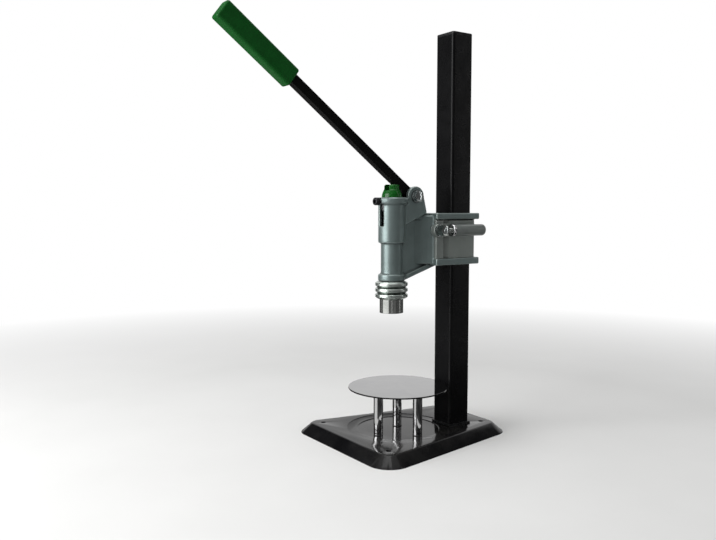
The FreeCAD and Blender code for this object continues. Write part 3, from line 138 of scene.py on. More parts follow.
# %% Helper: a shared node group
class Group(Web):
    """A node group: its point comes in as Vector, its other inputs as named values."""

    def __init__(self, name, outputs, **inputs):
        tree = bpy.data.node_groups.new(name, "ShaderNodeTree")
        for label, value in {**inputs, "Vector": (0, 0, 0)}.items():
            kind = "NodeSocketVector" if isinstance(value, tuple) else "NodeSocketFloat"
            socket = tree.interface.new_socket(label, in_out="INPUT", socket_type=kind)
            socket.default_value = value
        for label in outputs:
            tree.interface.new_socket(label, in_out="OUTPUT", socket_type="NodeSocketFloat")
        self.given = tree.nodes.new("NodeGroupInput").outputs
        self.result = tree.nodes.new("NodeGroupOutput").inputs
        super().__init__(tree, self.given["Vector"])

    def give(self, **values):
        for label, value in values.items():
            self.tree.links.new(value, self.result[label])
        print("group", self.tree.name, "gives", ", ".join(values))


# %% [markdown]
# Cast, coated and moulded skins are never flat: close up they have a grain like orange peel. A
# fine noise laid over rounded cells gives that, and a much wider noise shifts the tone in soft
# patches.

# %% Group: grain
PATCH_SCALE = 0.06

grain = Group("grain", ["Height", "Tone"], Size=0.001)
per_metre = grain.math("DIVIDE", 1.0, grain.given["Size"])
coarse = grain.noise(scale=per_metre, detail=3.0, Roughness=0.6)
cells = grain.node("TexVoronoi", {"Vector": grain.point, "Scale": per_metre}, feature="SMOOTH_F1")
patches = grain.noise(scale=grain.math("MULTIPLY", per_metre, PATCH_SCALE), detail=2.0)
grain.give(Height=grain.math("MULTIPLY_ADD", cells["Distance"], 0.5, coarse), Tone=patches)

# %% [markdown]
# A lathe leaves fine rings round the axis of the work. Each point is therefore told by two
# numbers, how far it lies along the axis and how far out from it, and a noise over these two is
# the same all the way round. The axis is the ram's own, which is the Z axis of the frame, unless
# another is set.

# %% Group: turned marks
turned = Group("turned_marks", ["Height", "Tone"], Centre=(0, 0, 0), Axis=(0, 0, 1), Size=0.0004)
axis = turned.given["Axis"]
arm = turned.vector("SUBTRACT", turned.point, turned.given["Centre"])["Vector"]
along = turned.vector("DOT_PRODUCT", arm, axis)["Value"]
on_axis = turned.node("VectorMath", {0: axis, "Scale": along}, operation="SCALE")["Vector"]
off_axis = turned.vector("SUBTRACT", arm, on_axis)["Vector"]
radius = turned.vector("LENGTH", off_axis)["Value"]
place = turned.node("CombineXYZ", {"X": along, "Y": radius})["Vector"]
per_metre = turned.math("DIVIDE", 1.0, turned.given["Size"])
rings = turned.noise(scale=per_metre, detail=2.0, point=place)
cloud = turned.math("MULTIPLY", turned.noise(scale=60.0, detail=2.0), 0.5)
turned.give(Height=rings, Tone=turned.math("MULTIPLY_ADD", rings, 0.5, cloud))

# %% [markdown]
# Brushing and drawing leave long marks in one direction. A noise is stretched by scaling its
# point down along that direction before it is read.

# %% Group: long marks
brushed = Group("long_marks", ["Height"], Stretch=(1, 1, 0.02), Size=0.0005)
pulled = brushed.vector("MULTIPLY", brushed.point, brushed.given["Stretch"])["Vector"]
per_metre = brushed.math("DIVIDE", 1.0, brushed.given["Size"])
brushed.give(Height=brushed.noise(scale=per_metre, detail=3.0, point=pulled))

# %% [markdown]
# Paint wears first where hands and cloths meet an edge. The Bevel node gives the normal of a
# corner as if it were rounded, and where that differs from the true normal there is an edge. A
# noise breaks the mask up, because wear is never an even line. Several finishes below also lay a
# painted highlight along edges with this mask.

# %% Group: worn edge and painted edge highlight
EDGE_BEGINS, EDGE_FULL = 0.97, 0.80

wear_and_edge_highlight = Group("worn_edge", ["Mask"], Radius=0.0008)
rounded = wear_and_edge_highlight.node("Bevel", {"Radius": wear_and_edge_highlight.given["Radius"]}, samples=4)["Normal"]
agree = wear_and_edge_highlight.vector("DOT_PRODUCT", rounded, wear_and_edge_highlight.node("NewGeometry")["Normal"])["Value"]
patchy = wear_and_edge_highlight.remap(wear_and_edge_highlight.noise(scale=220.0, detail=3.0), low=0.42, high=0.60)
wear_and_edge_highlight.give(Mask=wear_and_edge_highlight.math("MULTIPLY", wear_and_edge_highlight.remap(agree, EDGE_BEGINS, EDGE_FULL), patchy))

# %% [markdown]
# Dust lies only on faces that look up, in soft drifts with a few specks. The Z part of the normal
# tells how level a face is, and two noises of very different scale make the drifts and the
# specks.

# %% Group: settled dust
DRIFT_SHARE, SPECK_SHARE = 0.6, 0.4

dust = Group("settled_dust", ["Mask"], Amount=0.3)
normal = dust.node("NewGeometry")["Normal"]
level = dust.remap(dust.node("SeparateXYZ", {"Vector": normal})["Z"], low=0.6, high=1.0)
drifts = dust.remap(dust.noise(scale=18.0, detail=5.0, Roughness=0.65), low=0.42, high=0.72)
specks = dust.remap(dust.noise(scale=1400.0, detail=1.0), low=0.66, high=0.72)
lying = dust.math("MULTIPLY_ADD", drifts, DRIFT_SHARE, dust.math("MULTIPLY", specks, SPECK_SHARE))
dust.give(Mask=dust.math("MULTIPLY", dust.math("MULTIPLY", lying, level), dust.given["Amount"]))

# %% [markdown]
# Grooves and inner corners get a painted shade. The Ambient Occlusion node tells how closed in a
# point is within a given reach, which finds such places procedurally.

# %% Group: painted corner shade
OPEN, SHUT = 0.90, 0.48

corner_shade = Group("dark_corners", ["Mask"], Reach=0.003)
reach = {"Distance": corner_shade.given["Reach"]}
closed = corner_shade.remap(corner_shade.node("AmbientOcclusion", reach, samples=8)["AO"], OPEN, SHUT)
broken = corner_shade.remap(corner_shade.noise(scale=260.0, detail=3.0), low=0.30, high=0.55, to_low=0.6)
corner_shade.give(Mask=corner_shade.math("MULTIPLY", closed, broken))

# %% [markdown]
# Handling changes the gloss of a surface long before its colour. A slow, slightly twisted noise
# gives a mask that the finishes use between their lowest and highest roughness.

# %% Group: smudges
smudge = Group("smudges", ["Mask"])
slow = smudge.noise(scale=35.0, detail=4.0, Distortion=0.8)
smudge.give(Mask=smudge.remap(slow, low=0.38, high=0.68))


# %% [markdown]
# Each finish starts alike: object coordinates, so that a pattern keeps its size on every piece,
# one Principled shader, and bumps in metres. Colours are written as the eye reads them on a
# screen, 0 to 255, and turned into light values, because the shader counts light and not screen
# steps.

# %% Helper: a finish
def seen(red, green, blue):
    """Light values of a screen colour."""
    def linear(v):
        v /= 255
        return v / 12.92 if v <= 0.04045 else ((v + 0.055) / 1.055) ** 2.4
    return linear(red), linear(green), linear(blue), 1.0


finishes = {}


class Finish(Web):
    """One material being built round its Principled shader."""

    def __init__(self, name, **sockets):
        self.material = bpy.data.materials.new(name)
        self.material.use_nodes = True
        tree = self.material.node_tree
        super().__init__(tree, tree.nodes.new("ShaderNodeTexCoord").outputs["Object"])
        self.shader = tree.nodes["Principled BSDF"]
        for label, value in sockets.items():
            self.shader.inputs[label.replace("_", " ")].default_value = value

    def use(self, group, **values):
        """Places a shared group and sets its values."""
        node = self.tree.nodes.new("ShaderNodeGroup")
        node.node_tree = group.tree
        self.tree.links.new(self.point, node.inputs["Vector"])
        for label, value in values.items():
            node.inputs[label].default_value = value
        return node.outputs

    def blend(self, mask, first, second):
        """A colour that goes from first to second with the mask."""
        return self.node("Mix", {0: mask, 6: first, 7: second}, data_type="RGBA")[2]

    def colour(self, ground, *layers):
        """Lays each layer, a mask and a colour, over the ground, and gives it to the shader."""
        for mask, tone in layers:
            ground = self.blend(mask, ground, tone)
        self.tree.links.new(ground, self.shader.inputs["Base Color"])

    def rough(self, mask, low, high):
        self.tree.links.new(self.remap(mask, 0.0, 1.0, low, high), self.shader.inputs["Roughness"])

    def bump(self, *layers):
        """Stacks bumps, each a height and its depth in metres."""
        normal = {}
        for height, depth in layers:
            inputs = {"Height": height, "Distance": depth, "Strength": 1.0, **normal}
            normal = {"Normal": self.node("Bump", inputs)["Normal"]}
        self.tree.links.new(normal["Normal"], self.shader.inputs["Normal"])

    def surface(self, shader):
        """Puts another shader in the place of the Principled one."""
        self.tree.links.new(shader, self.tree.nodes["Material Output"].inputs["Surface"])

    def done(self, slot):
        finishes[slot] = self.material
        print("finish", slot)


# %% [markdown]
# The head is an aluminium casting under a thin grey-green coat, and the clamp jaw a second
# casting under the same coat, a shade warmer. A flat paint would look like plastic. The coat
# follows the cast skin, so it has a fine grain and soft patches, worn edges and some dust. Inner
# corners and hollows get a painted shade and crests a painted highlight. Pointiness finds crests
# and hollows on the rounded meshes that are made further down.

# %% Finish: coated castings
HOLLOW_SHADE_FROM, HOLLOW_SHADE_TO = 0.490, 0.45
CREST_HIGHLIGHT_FROM, CREST_HIGHLIGHT_TO = 0.515, 0.57
PAINTED_LINE_STRENGTH = 0.8


def cast_finish(slot, dark, light, edge):
    f = Finish("coated_" + slot, Metallic=0.55)
    skin = f.use(grain, Size=0.0011)
    bend = f.node("NewGeometry")["Pointiness"]
    hollow_shade = f.remap(bend, HOLLOW_SHADE_FROM, HOLLOW_SHADE_TO, 0.0, PAINTED_LINE_STRENGTH)
    crest_highlight = f.remap(bend, CREST_HIGHLIGHT_FROM, CREST_HIGHLIGHT_TO, 0.0, PAINTED_LINE_STRENGTH)
    worn_and_highlit = f.math("MAXIMUM", f.use(wear_and_edge_highlight, Radius=0.0014)["Mask"], crest_highlight)
    # Layers: painted shade in inner corners and hollows, worn edges with a painted highlight on
    # crests, then dust.
    f.colour(f.blend(skin["Tone"], seen(*dark), seen(*light)),
             (f.use(corner_shade, Reach=0.0035)["Mask"], seen(34, 38, 38)),
             (hollow_shade, seen(36, 40, 40)),
             (worn_and_highlit, seen(*edge)),
             (f.use(dust, Amount=0.35)["Mask"], seen(150, 152, 148)))
    f.rough(f.use(smudge)["Mask"], low=0.36, high=0.48)
    f.bump((skin["Height"], 0.00003))
    f.done(slot)


cast_finish("head_cast", dark=(92, 104, 103), light=(113, 126, 125), edge=(186, 198, 194))
cast_finish("jaw_cast", dark=(112, 118, 115), light=(132, 138, 134), edge=(190, 196, 190))


# %% [markdown]
# Most painted, moulded and oxidised pieces share one recipe: a grain in two near tones, a gloss
# between two roughnesses, sometimes edges in another colour, which is wear on some pieces and a
# painted highlight on others, and sometimes dust.
# One function with named values takes the place of seven near copies. The gloss follows the
# grain, or the smudges where hands go.

# %% Helper: a grained finish
def grained(slot, name, size, dark, light, gloss, depth, edge=None, dusty=None, handled=False,
            **sockets):
    f = Finish(name, **sockets)
    skin = f.use(grain, Size=size)
    layers = []
    if edge:
        layers.append((f.use(wear_and_edge_highlight, Radius=edge[0])["Mask"], seen(*edge[1])))
    if dusty:
        layers.append((f.use(dust, Amount=dusty[0])["Mask"], seen(*dusty[1])))
    f.colour(f.blend(skin["Tone"], seen(*dark), seen(*light)), *layers)
    f.rough(f.use(smudge)["Mask"] if handled else skin["Tone"], *gloss)
    f.bump((skin["Height"], depth))
    f.done(slot)


# %% [markdown]
# Base, lever, end cap and guide screw are all black, yet no two blacks are the same: the base is
# a wet, glossy paint with orange peel, the lever a rubbed black, the cap a moulded plastic and
# the screw an oxide on steel. A black is told by its gloss, so the colours stay close together
# and the roughness does the work. The specular level is low, because the real blacks stay deep in
# the light.

# %% Finish: painted, rubbed, moulded and oxidised blacks
grained("base_black", "gloss_black_paint", size=0.0022, dark=(8, 8, 9), light=(15, 15, 17),
        gloss=(0.10, 0.20), depth=0.000006, edge=(0.0011, (60, 61, 64)),
        dusty=(0.22, (120, 118, 114)), handled=True, Specular_IOR_Level=0.16)
grained("lever_black", "rubbed_black_lever", size=0.0009, dark=(5, 5, 5), light=(13, 12, 11),
        gloss=(0.42, 0.62), depth=0.00006, edge=(0.0007, (46, 43, 41)), Specular_IOR_Level=0.06)
grained("cap_plastic", "moulded_black_cap", size=0.0006, dark=(12, 12, 13), light=(20, 20, 21),
        gloss=(0.45, 0.6), depth=0.00005, dusty=(0.35, (90, 89, 86)), Specular_IOR_Level=0.25)
grained("black_screw", "black_oxide_screw", size=0.0005, dark=(26, 26, 28), light=(44, 44, 47),
        gloss=(0.32, 0.5), depth=0.00002, edge=(0.0004, (110, 110, 112)), Metallic=0.5,
        Specular_IOR_Level=0.3)

# %% [markdown]
# The column is a drawn tube under a satin coat, and the plate at its foot has the same coat.
# Drawing leaves marks along the tube that still show through the paint, so two bumps are stacked:
# the long marks first, and the peel of the paint on them.

# %% Finish: satin column and foot
for slot, low, high in (("column_black", 0.24, 0.36), ("foot_steel", 0.26, 0.40)):
    f = Finish("satin_" + slot, Specular_IOR_Level=0.10)
    drawn = f.use(brushed, Stretch=(1.0, 1.0, 0.015), Size=0.0007)
    peel = f.use(grain, Size=0.0012)
    # The worn-edge layer here is partly worn paint and partly a painted highlight along the tube's
    # corners.
    f.colour(f.blend(peel["Tone"], seen(7, 7, 8), seen(14, 14, 15)),
             (f.use(wear_and_edge_highlight, Radius=0.0010)["Mask"], seen(78, 78, 80)),
             (f.use(dust, Amount=0.25)["Mask"], seen(110, 110, 106)))
    f.rough(f.use(smudge)["Mask"], low, high)
    f.bump((drawn["Height"], 0.000006), (peel["Height"], 0.000003))
    f.done(slot)

# %% [markdown]
# The handle's sleeve is a soft dipped plastic in deep green with a fine matte grain and a painted
# highlight along its thin rims. The sleeve of the clamp lever is a hard grey one with a faint
# metallic sheen, and the pads under the stand are dull rubber. All three follow the grained recipe.

# %% Finish: sleeves and pads
# The green sleeve's edge tone is a painted highlight along its rims.
grained("grip_green", "soft_green_sleeve", size=0.0007, dark=(4, 62, 16), light=(8, 80, 24),
        gloss=(0.38, 0.52), depth=0.000012, edge=(0.0022, (44, 120, 66)), handled=True,
        Specular_IOR_Level=0.13)
grained("grey_plastic", "grey_sleeve", size=0.0006, dark=(92, 98, 96), light=(112, 117, 114),
        gloss=(0.30, 0.44), depth=0.00002, edge=(0.0010, (168, 170, 166)), handled=True,
        Metallic=0.35)
grained("pad_rubber", "rubber_foot", size=0.0006, dark=(24, 24, 24), light=(38, 37, 36),
        gloss=(0.7, 0.85), depth=0.00006)

# %% [markdown]
# The ram's cap is the same green as the handle, but a hard, glossier moulding. The lever's nose
# rubs on it, so small scuffs are paler and duller than the rest. One noise, cut to its peaks,
# drives both.

# %% Finish: green ram cap
SCUFF_FROM, SCUFF_TO, SCUFF_PALE = 0.56, 0.66, 0.25

f = Finish("hard_green_cap", Specular_IOR_Level=0.25)
skin = f.use(grain, Size=0.0009)
scuffs = f.remap(f.noise(scale=420.0, detail=5.0), SCUFF_FROM, SCUFF_TO)
f.colour(f.blend(skin["Tone"], seen(4, 62, 12), seen(10, 88, 20)),
         (f.use(wear_and_edge_highlight, Radius=0.0008)["Mask"], seen(60, 150, 66)),
         (f.math("MULTIPLY", scuffs, SCUFF_PALE), seen(70, 130, 74)))
f.rough(scuffs, low=0.22, high=0.45)
f.bump((skin["Height"], 0.00003))
f.done("cap_green")


# %% [markdown]
# Crimp body, sleeve, collet, ram, bushes and springs come off a lathe or a coiling machine. Bare
# metal shows its making in fine marks, which are far finer than a pixel, so mostly they stretch
# the highlights. A plain shiny metal lacks that. Grooves get a little painted shade, and edges a
# painted highlight.

# %% Finish: turned metals
def turned_finish(slot, dark, light, gloss, size, depth=0.00002):
    f = Finish("turned_" + slot, Metallic=1.0)
    ring = f.use(turned, Size=size)
    # Painted shade in grooves, and a painted highlight along edges.
    f.colour(f.blend(ring["Tone"], seen(*dark), seen(*light)),
             (f.use(corner_shade, Reach=0.0025)["Mask"], seen(104, 110, 106)),
             (f.use(wear_and_edge_highlight, Radius=0.0006)["Mask"], seen(*light)))
    f.rough(ring["Tone"], *gloss)
    f.bump((ring["Height"], depth))
    f.done(slot)


turned_finish("rib_aluminium", (166, 175, 170), (204, 211, 206), gloss=(0.22, 0.34), size=0.0005)
turned_finish("sleeve_chrome", (176, 178, 174), (204, 206, 203), gloss=(0.06, 0.14), size=0.0006,
              depth=0.000004)
turned_finish("collet_steel", (176, 176, 178), (206, 206, 208), gloss=(0.22, 0.34), size=0.0004)
turned_finish("ram_steel", (150, 151, 153), (186, 187, 189), gloss=(0.24, 0.38), size=0.0004)
turned_finish("bronze", (150, 108, 58), (190, 144, 84), gloss=(0.28, 0.42), size=0.0004)
turned_finish("spring_steel", (70, 72, 76), (104, 106, 110), gloss=(0.34, 0.50), size=0.0003)

# %% [markdown]
# Bolts, nuts, washers and the clamp lever are zinc plated. Plating has a soft, cloudy tone, which
# a noise between two greys gives, over the fine grain of the steel below.

# %% Finish: plated steel
for slot, dark, light, gloss in (
        ("zinc_steel", (168, 176, 178), (212, 216, 215), (0.12, 0.24)),
        ("tommy_zinc", (160, 166, 164), (204, 208, 204), (0.14, 0.26))):
    f = Finish("plated_" + slot, Metallic=1.0)
    f.colour(f.blend(f.noise(scale=90.0, detail=4.0), seen(*dark), seen(*light)))
    f.rough(f.use(smudge)["Mask"], *gloss)
    f.bump((f.use(grain, Size=0.0008)["Height"], 0.00002))
    f.done(slot)


# %% [markdown]
# The ring on the clamp lever, the stand's tubes and its round plate are polished and brushed very
# lightly along one direction. A polished face takes its look from what it mirrors, so its own
# tone is one grey, a step darker where it was handled. The plate's sawn rim gets a painted shade,
# which the true normal tells from its two flat faces.

# %% Finish: polished steel
SMUDGE_STEP = 6
FLAT_FACE, UPRIGHT_FACE = 0.9, 0.6


def polished_finish(slot, tone, gloss, stretch, rim_shade=False):
    f = Finish("polished_" + slot, Metallic=1.0)
    handled = f.use(smudge)["Mask"]
    smudged = tone - SMUDGE_STEP
    layers = []
    # The upright rim gets a painted shade.
    if rim_shade:
        true_normal = f.node("NewGeometry")["True Normal"]
        upward = f.math("ABSOLUTE", f.node("SeparateXYZ", {"Vector": true_normal})["Z"])
        layers.append((f.remap(upward, FLAT_FACE, UPRIGHT_FACE), seen(34, 35, 34)))
    f.colour(f.blend(handled, seen(tone, tone, tone), seen(smudged, smudged, smudged + 1)), *layers)
    f.rough(handled, *gloss)
    f.bump((f.use(brushed, Stretch=stretch, Size=0.0006)["Height"], 0.000004))
    f.done(slot)


polished_finish("ring_chrome", 196, gloss=(0.06, 0.14), stretch=(0.02, 1.0, 1.0))
polished_finish("leg_steel", 204, gloss=(0.03, 0.09), stretch=(1.0, 1.0, 0.02))
polished_finish("stand_mirror", 142, gloss=(0.02, 0.05), stretch=(1.0, 0.02, 1.0), rim_shade=True)

# %% [markdown]
# The record names a material slot for every node. Dressing the nodes from that table, and not by
# hand, means that no piece can be left in plain grey.

# %% Dress the CAD nodes
rows = frame["record"]["subparts"]
for row in rows:
    for material_slot in nodes[row["node"]].material_slots:
        material_slot.material = finishes[row["material_slot"]]
print("dressed", len(rows), "nodes in", len(finishes), "finishes")


# %% [markdown]
# The rest of the lesson models by operators, as by hand. An operator works on all that is
# selected, so each helper first selects its own piece alone, and steps in edit mode are wrapped
# in one word.

# %% Helper: selecting, edit mode and modifiers
def only(*objects):
    bpy.ops.object.select_all(action="DESELECT")
    for obj in objects:
        obj.select_set(True)
    bpy.context.view_layer.objects.active = objects[-1]


@contextmanager
def editing(piece, select="SELECT"):
    only(piece)
    bpy.ops.object.mode_set(mode="EDIT")
    if select:
        bpy.ops.mesh.select_all(action=select)
    yield
    bpy.ops.object.mode_set(mode="OBJECT")


def apply_all(piece):
    only(piece)
    for modifier in list(piece.modifiers):
        bpy.ops.object.modifier_apply(modifier=modifier.name)


def frozen(piece):
    """Puts a piece's place, turn and scale into its mesh."""
    only(piece)
    bpy.ops.object.transform_apply(location=True, rotation=True, scale=True)
    return piece



# %% [markdown]
# A new piece starts as a primitive or as a copy of its CAD node. A node's mesh is loose
# triangles, so the copy's doubles are merged first. A finished piece gets its name and its
# finish, rides on its body, and takes the place of its node.

# %% Helper: starting, joining and finishing a piece
MERGE_WITHIN = 0.01 * MM


def added(primitive, **settings):
    bpy.ops.object.select_all(action="DESELECT")
    getattr(bpy.ops.mesh, f"primitive_{primitive}_add")(**settings)
    return bpy.context.object


def merged_copy(node):
    piece = bpy.data.objects.new(node + "_copy", nodes[node].data.copy())
    bpy.context.scene.collection.objects.link(piece)
    with editing(piece):
        bpy.ops.mesh.remove_doubles(threshold=MERGE_WITHIN)
    return piece


def joined(first, *others):
    only(*others, first)
    bpy.ops.object.join()
    return first


def smooth(piece, angle=35):
    only(piece)
    bpy.ops.object.shade_smooth_by_angle(angle=math.radians(angle))
    return piece


def settle(piece, name, body, slot, replaced):
    frozen(piece)
    piece.name = name
    piece.data.name = name
    piece.data.materials.clear()
    piece.data.materials.append(finishes[slot])
    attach(piece, body)
    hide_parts(replaced)
    print(name, sum(len(p.vertices) - 2 for p in piece.data.polygons), "triangles")
    return piece


# %% [markdown]
# Filling and cutting is done with plain tools: a box between two corners, and a prism that is a
# circle with its points moved to an outline and then pulled up. Their sizes are in millimetres.

# %% Helper: tools for filling and cutting
def block_between(low, high):
    low, high = Vector(low) * MM, Vector(high) * MM
    box = added("cube", size=1.0)
    box.scale = high - low
    box.location = (low + high) / 2
    return frozen(box)


def flat_outline(outline, height):
    """A filled circle of as many points as the outline has, each moved to its (x, y)."""
    face = added("circle", vertices=len(outline), fill_type="NGON")
    for vertex, (x, y) in zip(face.data.vertices, outline):
        vertex.co = (x * MM, y * MM, height * MM)
    return face


def upright_prism(outline, low, high):
    prism = flat_outline(outline, low)
    with editing(prism):
        pull = {"value": (0, 0, (high - low) * MM)}
        bpy.ops.mesh.extrude_region_move(TRANSFORM_OT_translate=pull)
        bpy.ops.mesh.select_all(action="SELECT")
        bpy.ops.mesh.normals_make_consistent(inside=False)
    return prism


def cut(piece, tool, operation):
    """A boolean with a tool that is used up by it."""
    step = piece.modifiers.new("cut", "BOOLEAN")
    step.operation = operation
    step.object = tool
    step.solver = "EXACT"
    apply_all(piece)
    bpy.data.objects.remove(tool)


# %% [markdown]
# The head came out of a mould, so none of its edges is sharp and its inner corners are filled in.
# A bevel of every edge would take hundreds of settings by hand. Here a copy of the node is remade
# from small even cells and then relaxed, which rounds outer edges and fills inner corners
# together, as a pattern maker does with wax. Before that, the web gets the flare by which it
# thickens towards the clamp block on both sides: slightly hollow, flush with the block's front,
# and as high as the gap between the flanges. The front of the clamp block's boss is taken off
# flush with that flare.

# %% Head casting
BOSS_FRONT = (4.6, 44.0, 270.0), (17.0, 57.0, 297.0)
FLARE = (3.5, 33.0), (4.9, 36.0), (8.0, 43.5), (12.0, 51.0), (16.4, 57.4), (16.4, 60.0), (3.5, 60.0)
FLARE_LOW, FLARE_HIGH = 239.0, 303.0
CAST_CELL, CAST_PASSES = 0.9 * MM, 5


def relaxed(piece, cell, passes):
    remesh = piece.modifiers.new("even_cells", "REMESH")
    remesh.mode = "VOXEL"
    remesh.voxel_size = cell
    remesh.use_smooth_shade = True
    relax = piece.modifiers.new("relax", "SMOOTH")
    relax.factor = 0.5
    relax.iterations = passes
    apply_all(piece)
    return piece


head = merged_copy("head_casting")
cut(head, block_between(*BOSS_FRONT), "DIFFERENCE")
flares = [upright_prism([(side * x, y) for x, y in FLARE], FLARE_LOW, FLARE_HIGH)
          for side in (1, -1)]
settle(relaxed(joined(head, *flares), CAST_CELL, CAST_PASSES),
       "head_casting_rounded", "head", "head_cast", "head_casting")

# %% [markdown]
# The clamp jaw is a plate with a wide hollow beside its boss, so that only its two lands press on
# the column. In the photograph the hollow is dark at its front wall and rises to a bright line.
# The copy is filled where the plain groove was, cut again with a sloping floor above and below
# the boss, and cut back a little along its top edge, which leaves a dark line under the casting's
# flange. It is relaxed with finer cells than the head, because its forms are smaller.

# %% Clamp jaw
GROOVE_IN, GROOVE_OUT = 18.5, 22.5
GROOVE_FRONT, GROOVE_BACK = 66.0, 76.0
HOLLOW = (23.0, 69.4), (17.9, 69.4), (18.0, 71.8), (21.8, 79.6), (21.8, 80.2), (23.0, 80.2)
BOSS_LOW, BOSS_HIGH = 274.6, 292.4
STEP_IN, STEP_OUT, STEP_HIGH = 20.6, 23.0, 1.3
PAST_FRONT, PAST_BACK, OVER = 50.0, 130.0, 1
JAW_CELL, JAW_PASSES = 0.5 * MM, 3

low, high = (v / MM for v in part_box("clamp_jaw"))
jaw = merged_copy("clamp_jaw")
groove = block_between((GROOVE_IN, GROOVE_FRONT, low.z), (GROOVE_OUT, GROOVE_BACK, high.z))
cut(jaw, groove, "UNION")
for bottom, top in ((low.z - OVER, BOSS_LOW), (BOSS_HIGH, high.z + OVER)):
    cut(jaw, upright_prism(HOLLOW, bottom, top), "DIFFERENCE")
step = block_between((STEP_IN, PAST_FRONT, high.z - STEP_HIGH),
                     (STEP_OUT, PAST_BACK, high.z + OVER))
cut(jaw, step, "DIFFERENCE")
settle(relaxed(jaw, JAW_CELL, JAW_PASSES), "clamp_jaw_rounded", "head", "jaw_cast", "clamp_jaw")

# %% [markdown]
# The base is pressed from one sheet, so every fold has a radius and the paint shows a soft light
# along it. The plastic cap in the column's top is moulded with a rounded rim. Their edges are few
# and even, so a bevel suits them better than new cells: the flat faces are merged first, and only
# the edges sharper than a given angle are rounded.

# %% Base plate and column end cap
FLAT_WITHIN, SMOOTH_UNDER = 0.4, 30
FOLD_STEPS = 4


def eased(node, name, slot, width, sharper_than):
    piece = merged_copy(node)
    with editing(piece):
        bpy.ops.mesh.dissolve_limited(angle_limit=math.radians(FLAT_WITHIN))
    fold = piece.modifiers.new("fold", "BEVEL")
    fold.width, fold.segments = width, FOLD_STEPS
    fold.limit_method, fold.angle_limit = "ANGLE", math.radians(sharper_than)
    fold.use_clamp_overlap = True
    apply_all(piece)
    settle(smooth(piece, angle=SMOOTH_UNDER), name, "frame", slot, node)


eased("base_plate", "base_plate_pressed", "base_black", width=0.9 * MM, sharper_than=24)
eased("column_end_cap", "column_end_cap_moulded", "cap_plastic", width=0.8 * MM, sharper_than=40)

# %% [markdown]
# Hexagon heads and nuts are cut from bar and turned at a shallow angle on top, which leaves a
# curved line on every flat. A plain six-sided prism lacks that line, and it is what makes a nut
# look like a nut. The prism is therefore crossed with a wide cone, once for each turned end.

# %% Helper: a turned hexagon
FLATS = 13.0 * MM
TURNED_RADIUS = FLATS * 0.485
CONE_OVER = 1.02


def hexagon(length, both_ends=True):
    """A hexagon from z = 0 up, turned at its top, or at both ends."""
    middle = (0, 0, length / 2)
    block = frozen(added("cylinder", vertices=6, radius=FLATS / math.sqrt(3), depth=length,
                         location=middle))
    wide = TURNED_RADIUS + length * math.sqrt(3)
    turns = ((wide, TURNED_RADIUS), (TURNED_RADIUS, wide))
    for lower, upper in turns if both_ends else turns[:1]:
        cone = added("cone", vertices=96, depth=length * CONE_OVER, location=middle,
                     radius1=lower, radius2=upper)
        cut(block, cone, "INTERSECT")
    return block


# %% [markdown]
# A thread could be a bump, but on a bolt's end it breaks the outline, so it is modelled: a
# three-sided strand is wound up by the Screw modifier round a thinner core. The strand's two open
# ends are closed afterwards, and its faces are turned outwards, since winding can turn them in.

# %% Helper: a threaded end
THREAD, PITCH = 4.0 * MM, 1.25 * MM
THREAD_DEPTH = 0.61 * PITCH
STRAND, LEAD_IN = PITCH * 0.58, PITCH * 0.55
CHAMFER = 0.25 * MM
FACING_UP = 0.9
STEPS_PER_TURN = 40


def threaded_end(length):
    """A core with a wound ridge, from z = 0 up."""
    core = frozen(added("cylinder", vertices=64, radius=THREAD - THREAD_DEPTH, depth=length,
                        location=(0, 0, length / 2)))
    with editing(core, select="DESELECT"):
        pass
    for face in core.data.polygons:
        face.select = face.normal.z > FACING_UP
    with editing(core, select=None):
        bpy.ops.mesh.bevel(offset=CHAMFER, segments=2)
    ridge = added("circle", vertices=3, radius=STRAND, fill_type="NOTHING")
    ridge.rotation_euler = (math.radians(90), 0, 0)
    frozen(ridge)
    for vertex in ridge.data.vertices:
        vertex.co = (THREAD - STRAND + vertex.co.z, 0, vertex.co.x + LEAD_IN)
    wind = ridge.modifiers.new("wind", "SCREW")
    wind.axis = "Z"
    wind.screw_offset = PITCH
    wind.iterations = max(1, int(length / PITCH) - 1)
    wind.steps = wind.render_steps = STEPS_PER_TURN
    apply_all(ridge)
    with editing(ridge, select="DESELECT"):
        bpy.ops.mesh.select_non_manifold()
        bpy.ops.mesh.edge_face_add()
        bpy.ops.mesh.select_all(action="SELECT")
        bpy.ops.mesh.normals_make_consistent(inside=False)
    return joined(core, ridge)


# %% [markdown]
# The pivot bolt and the clamp screw are made alike, standing on the Z axis with the head hanging
# below it, and then laid along X, one to each side. Their lengths and places come from the boxes
# of their nodes, so they fit the holes without any measuring. A mirrored head has its faces
# turned out.

# %% Bolts and nut
BOLT_HEAD = 5.3 * MM
RUN_OUT = 1.0 * MM


def bolt(length, thread):
    """A hexagon bolt: its head hangs below z = 0, its shank of the given length points up."""
    top = hexagon(BOLT_HEAD, both_ends=False)
    top.scale = (1, 1, -1)
    with editing(frozen(top)):
        bpy.ops.mesh.normals_make_consistent(inside=False)
    plain = length - thread
    shank = frozen(added("cylinder", vertices=64, radius=THREAD, depth=plain,
                         location=(0, 0, plain / 2)))
    end = threaded_end(thread + RUN_OUT)
    end.location = (0, 0, plain - RUN_OUT)
    return joined(top, shank, frozen(end))


def lay_along_x(piece, x, y, z, way=1):
    """Turns a piece that stands on Z to point along +X or -X, with its foot at a place."""
    piece.rotation_euler = (0, math.radians(90 * way), 0)
    piece.location = (x, y, z)
    return piece


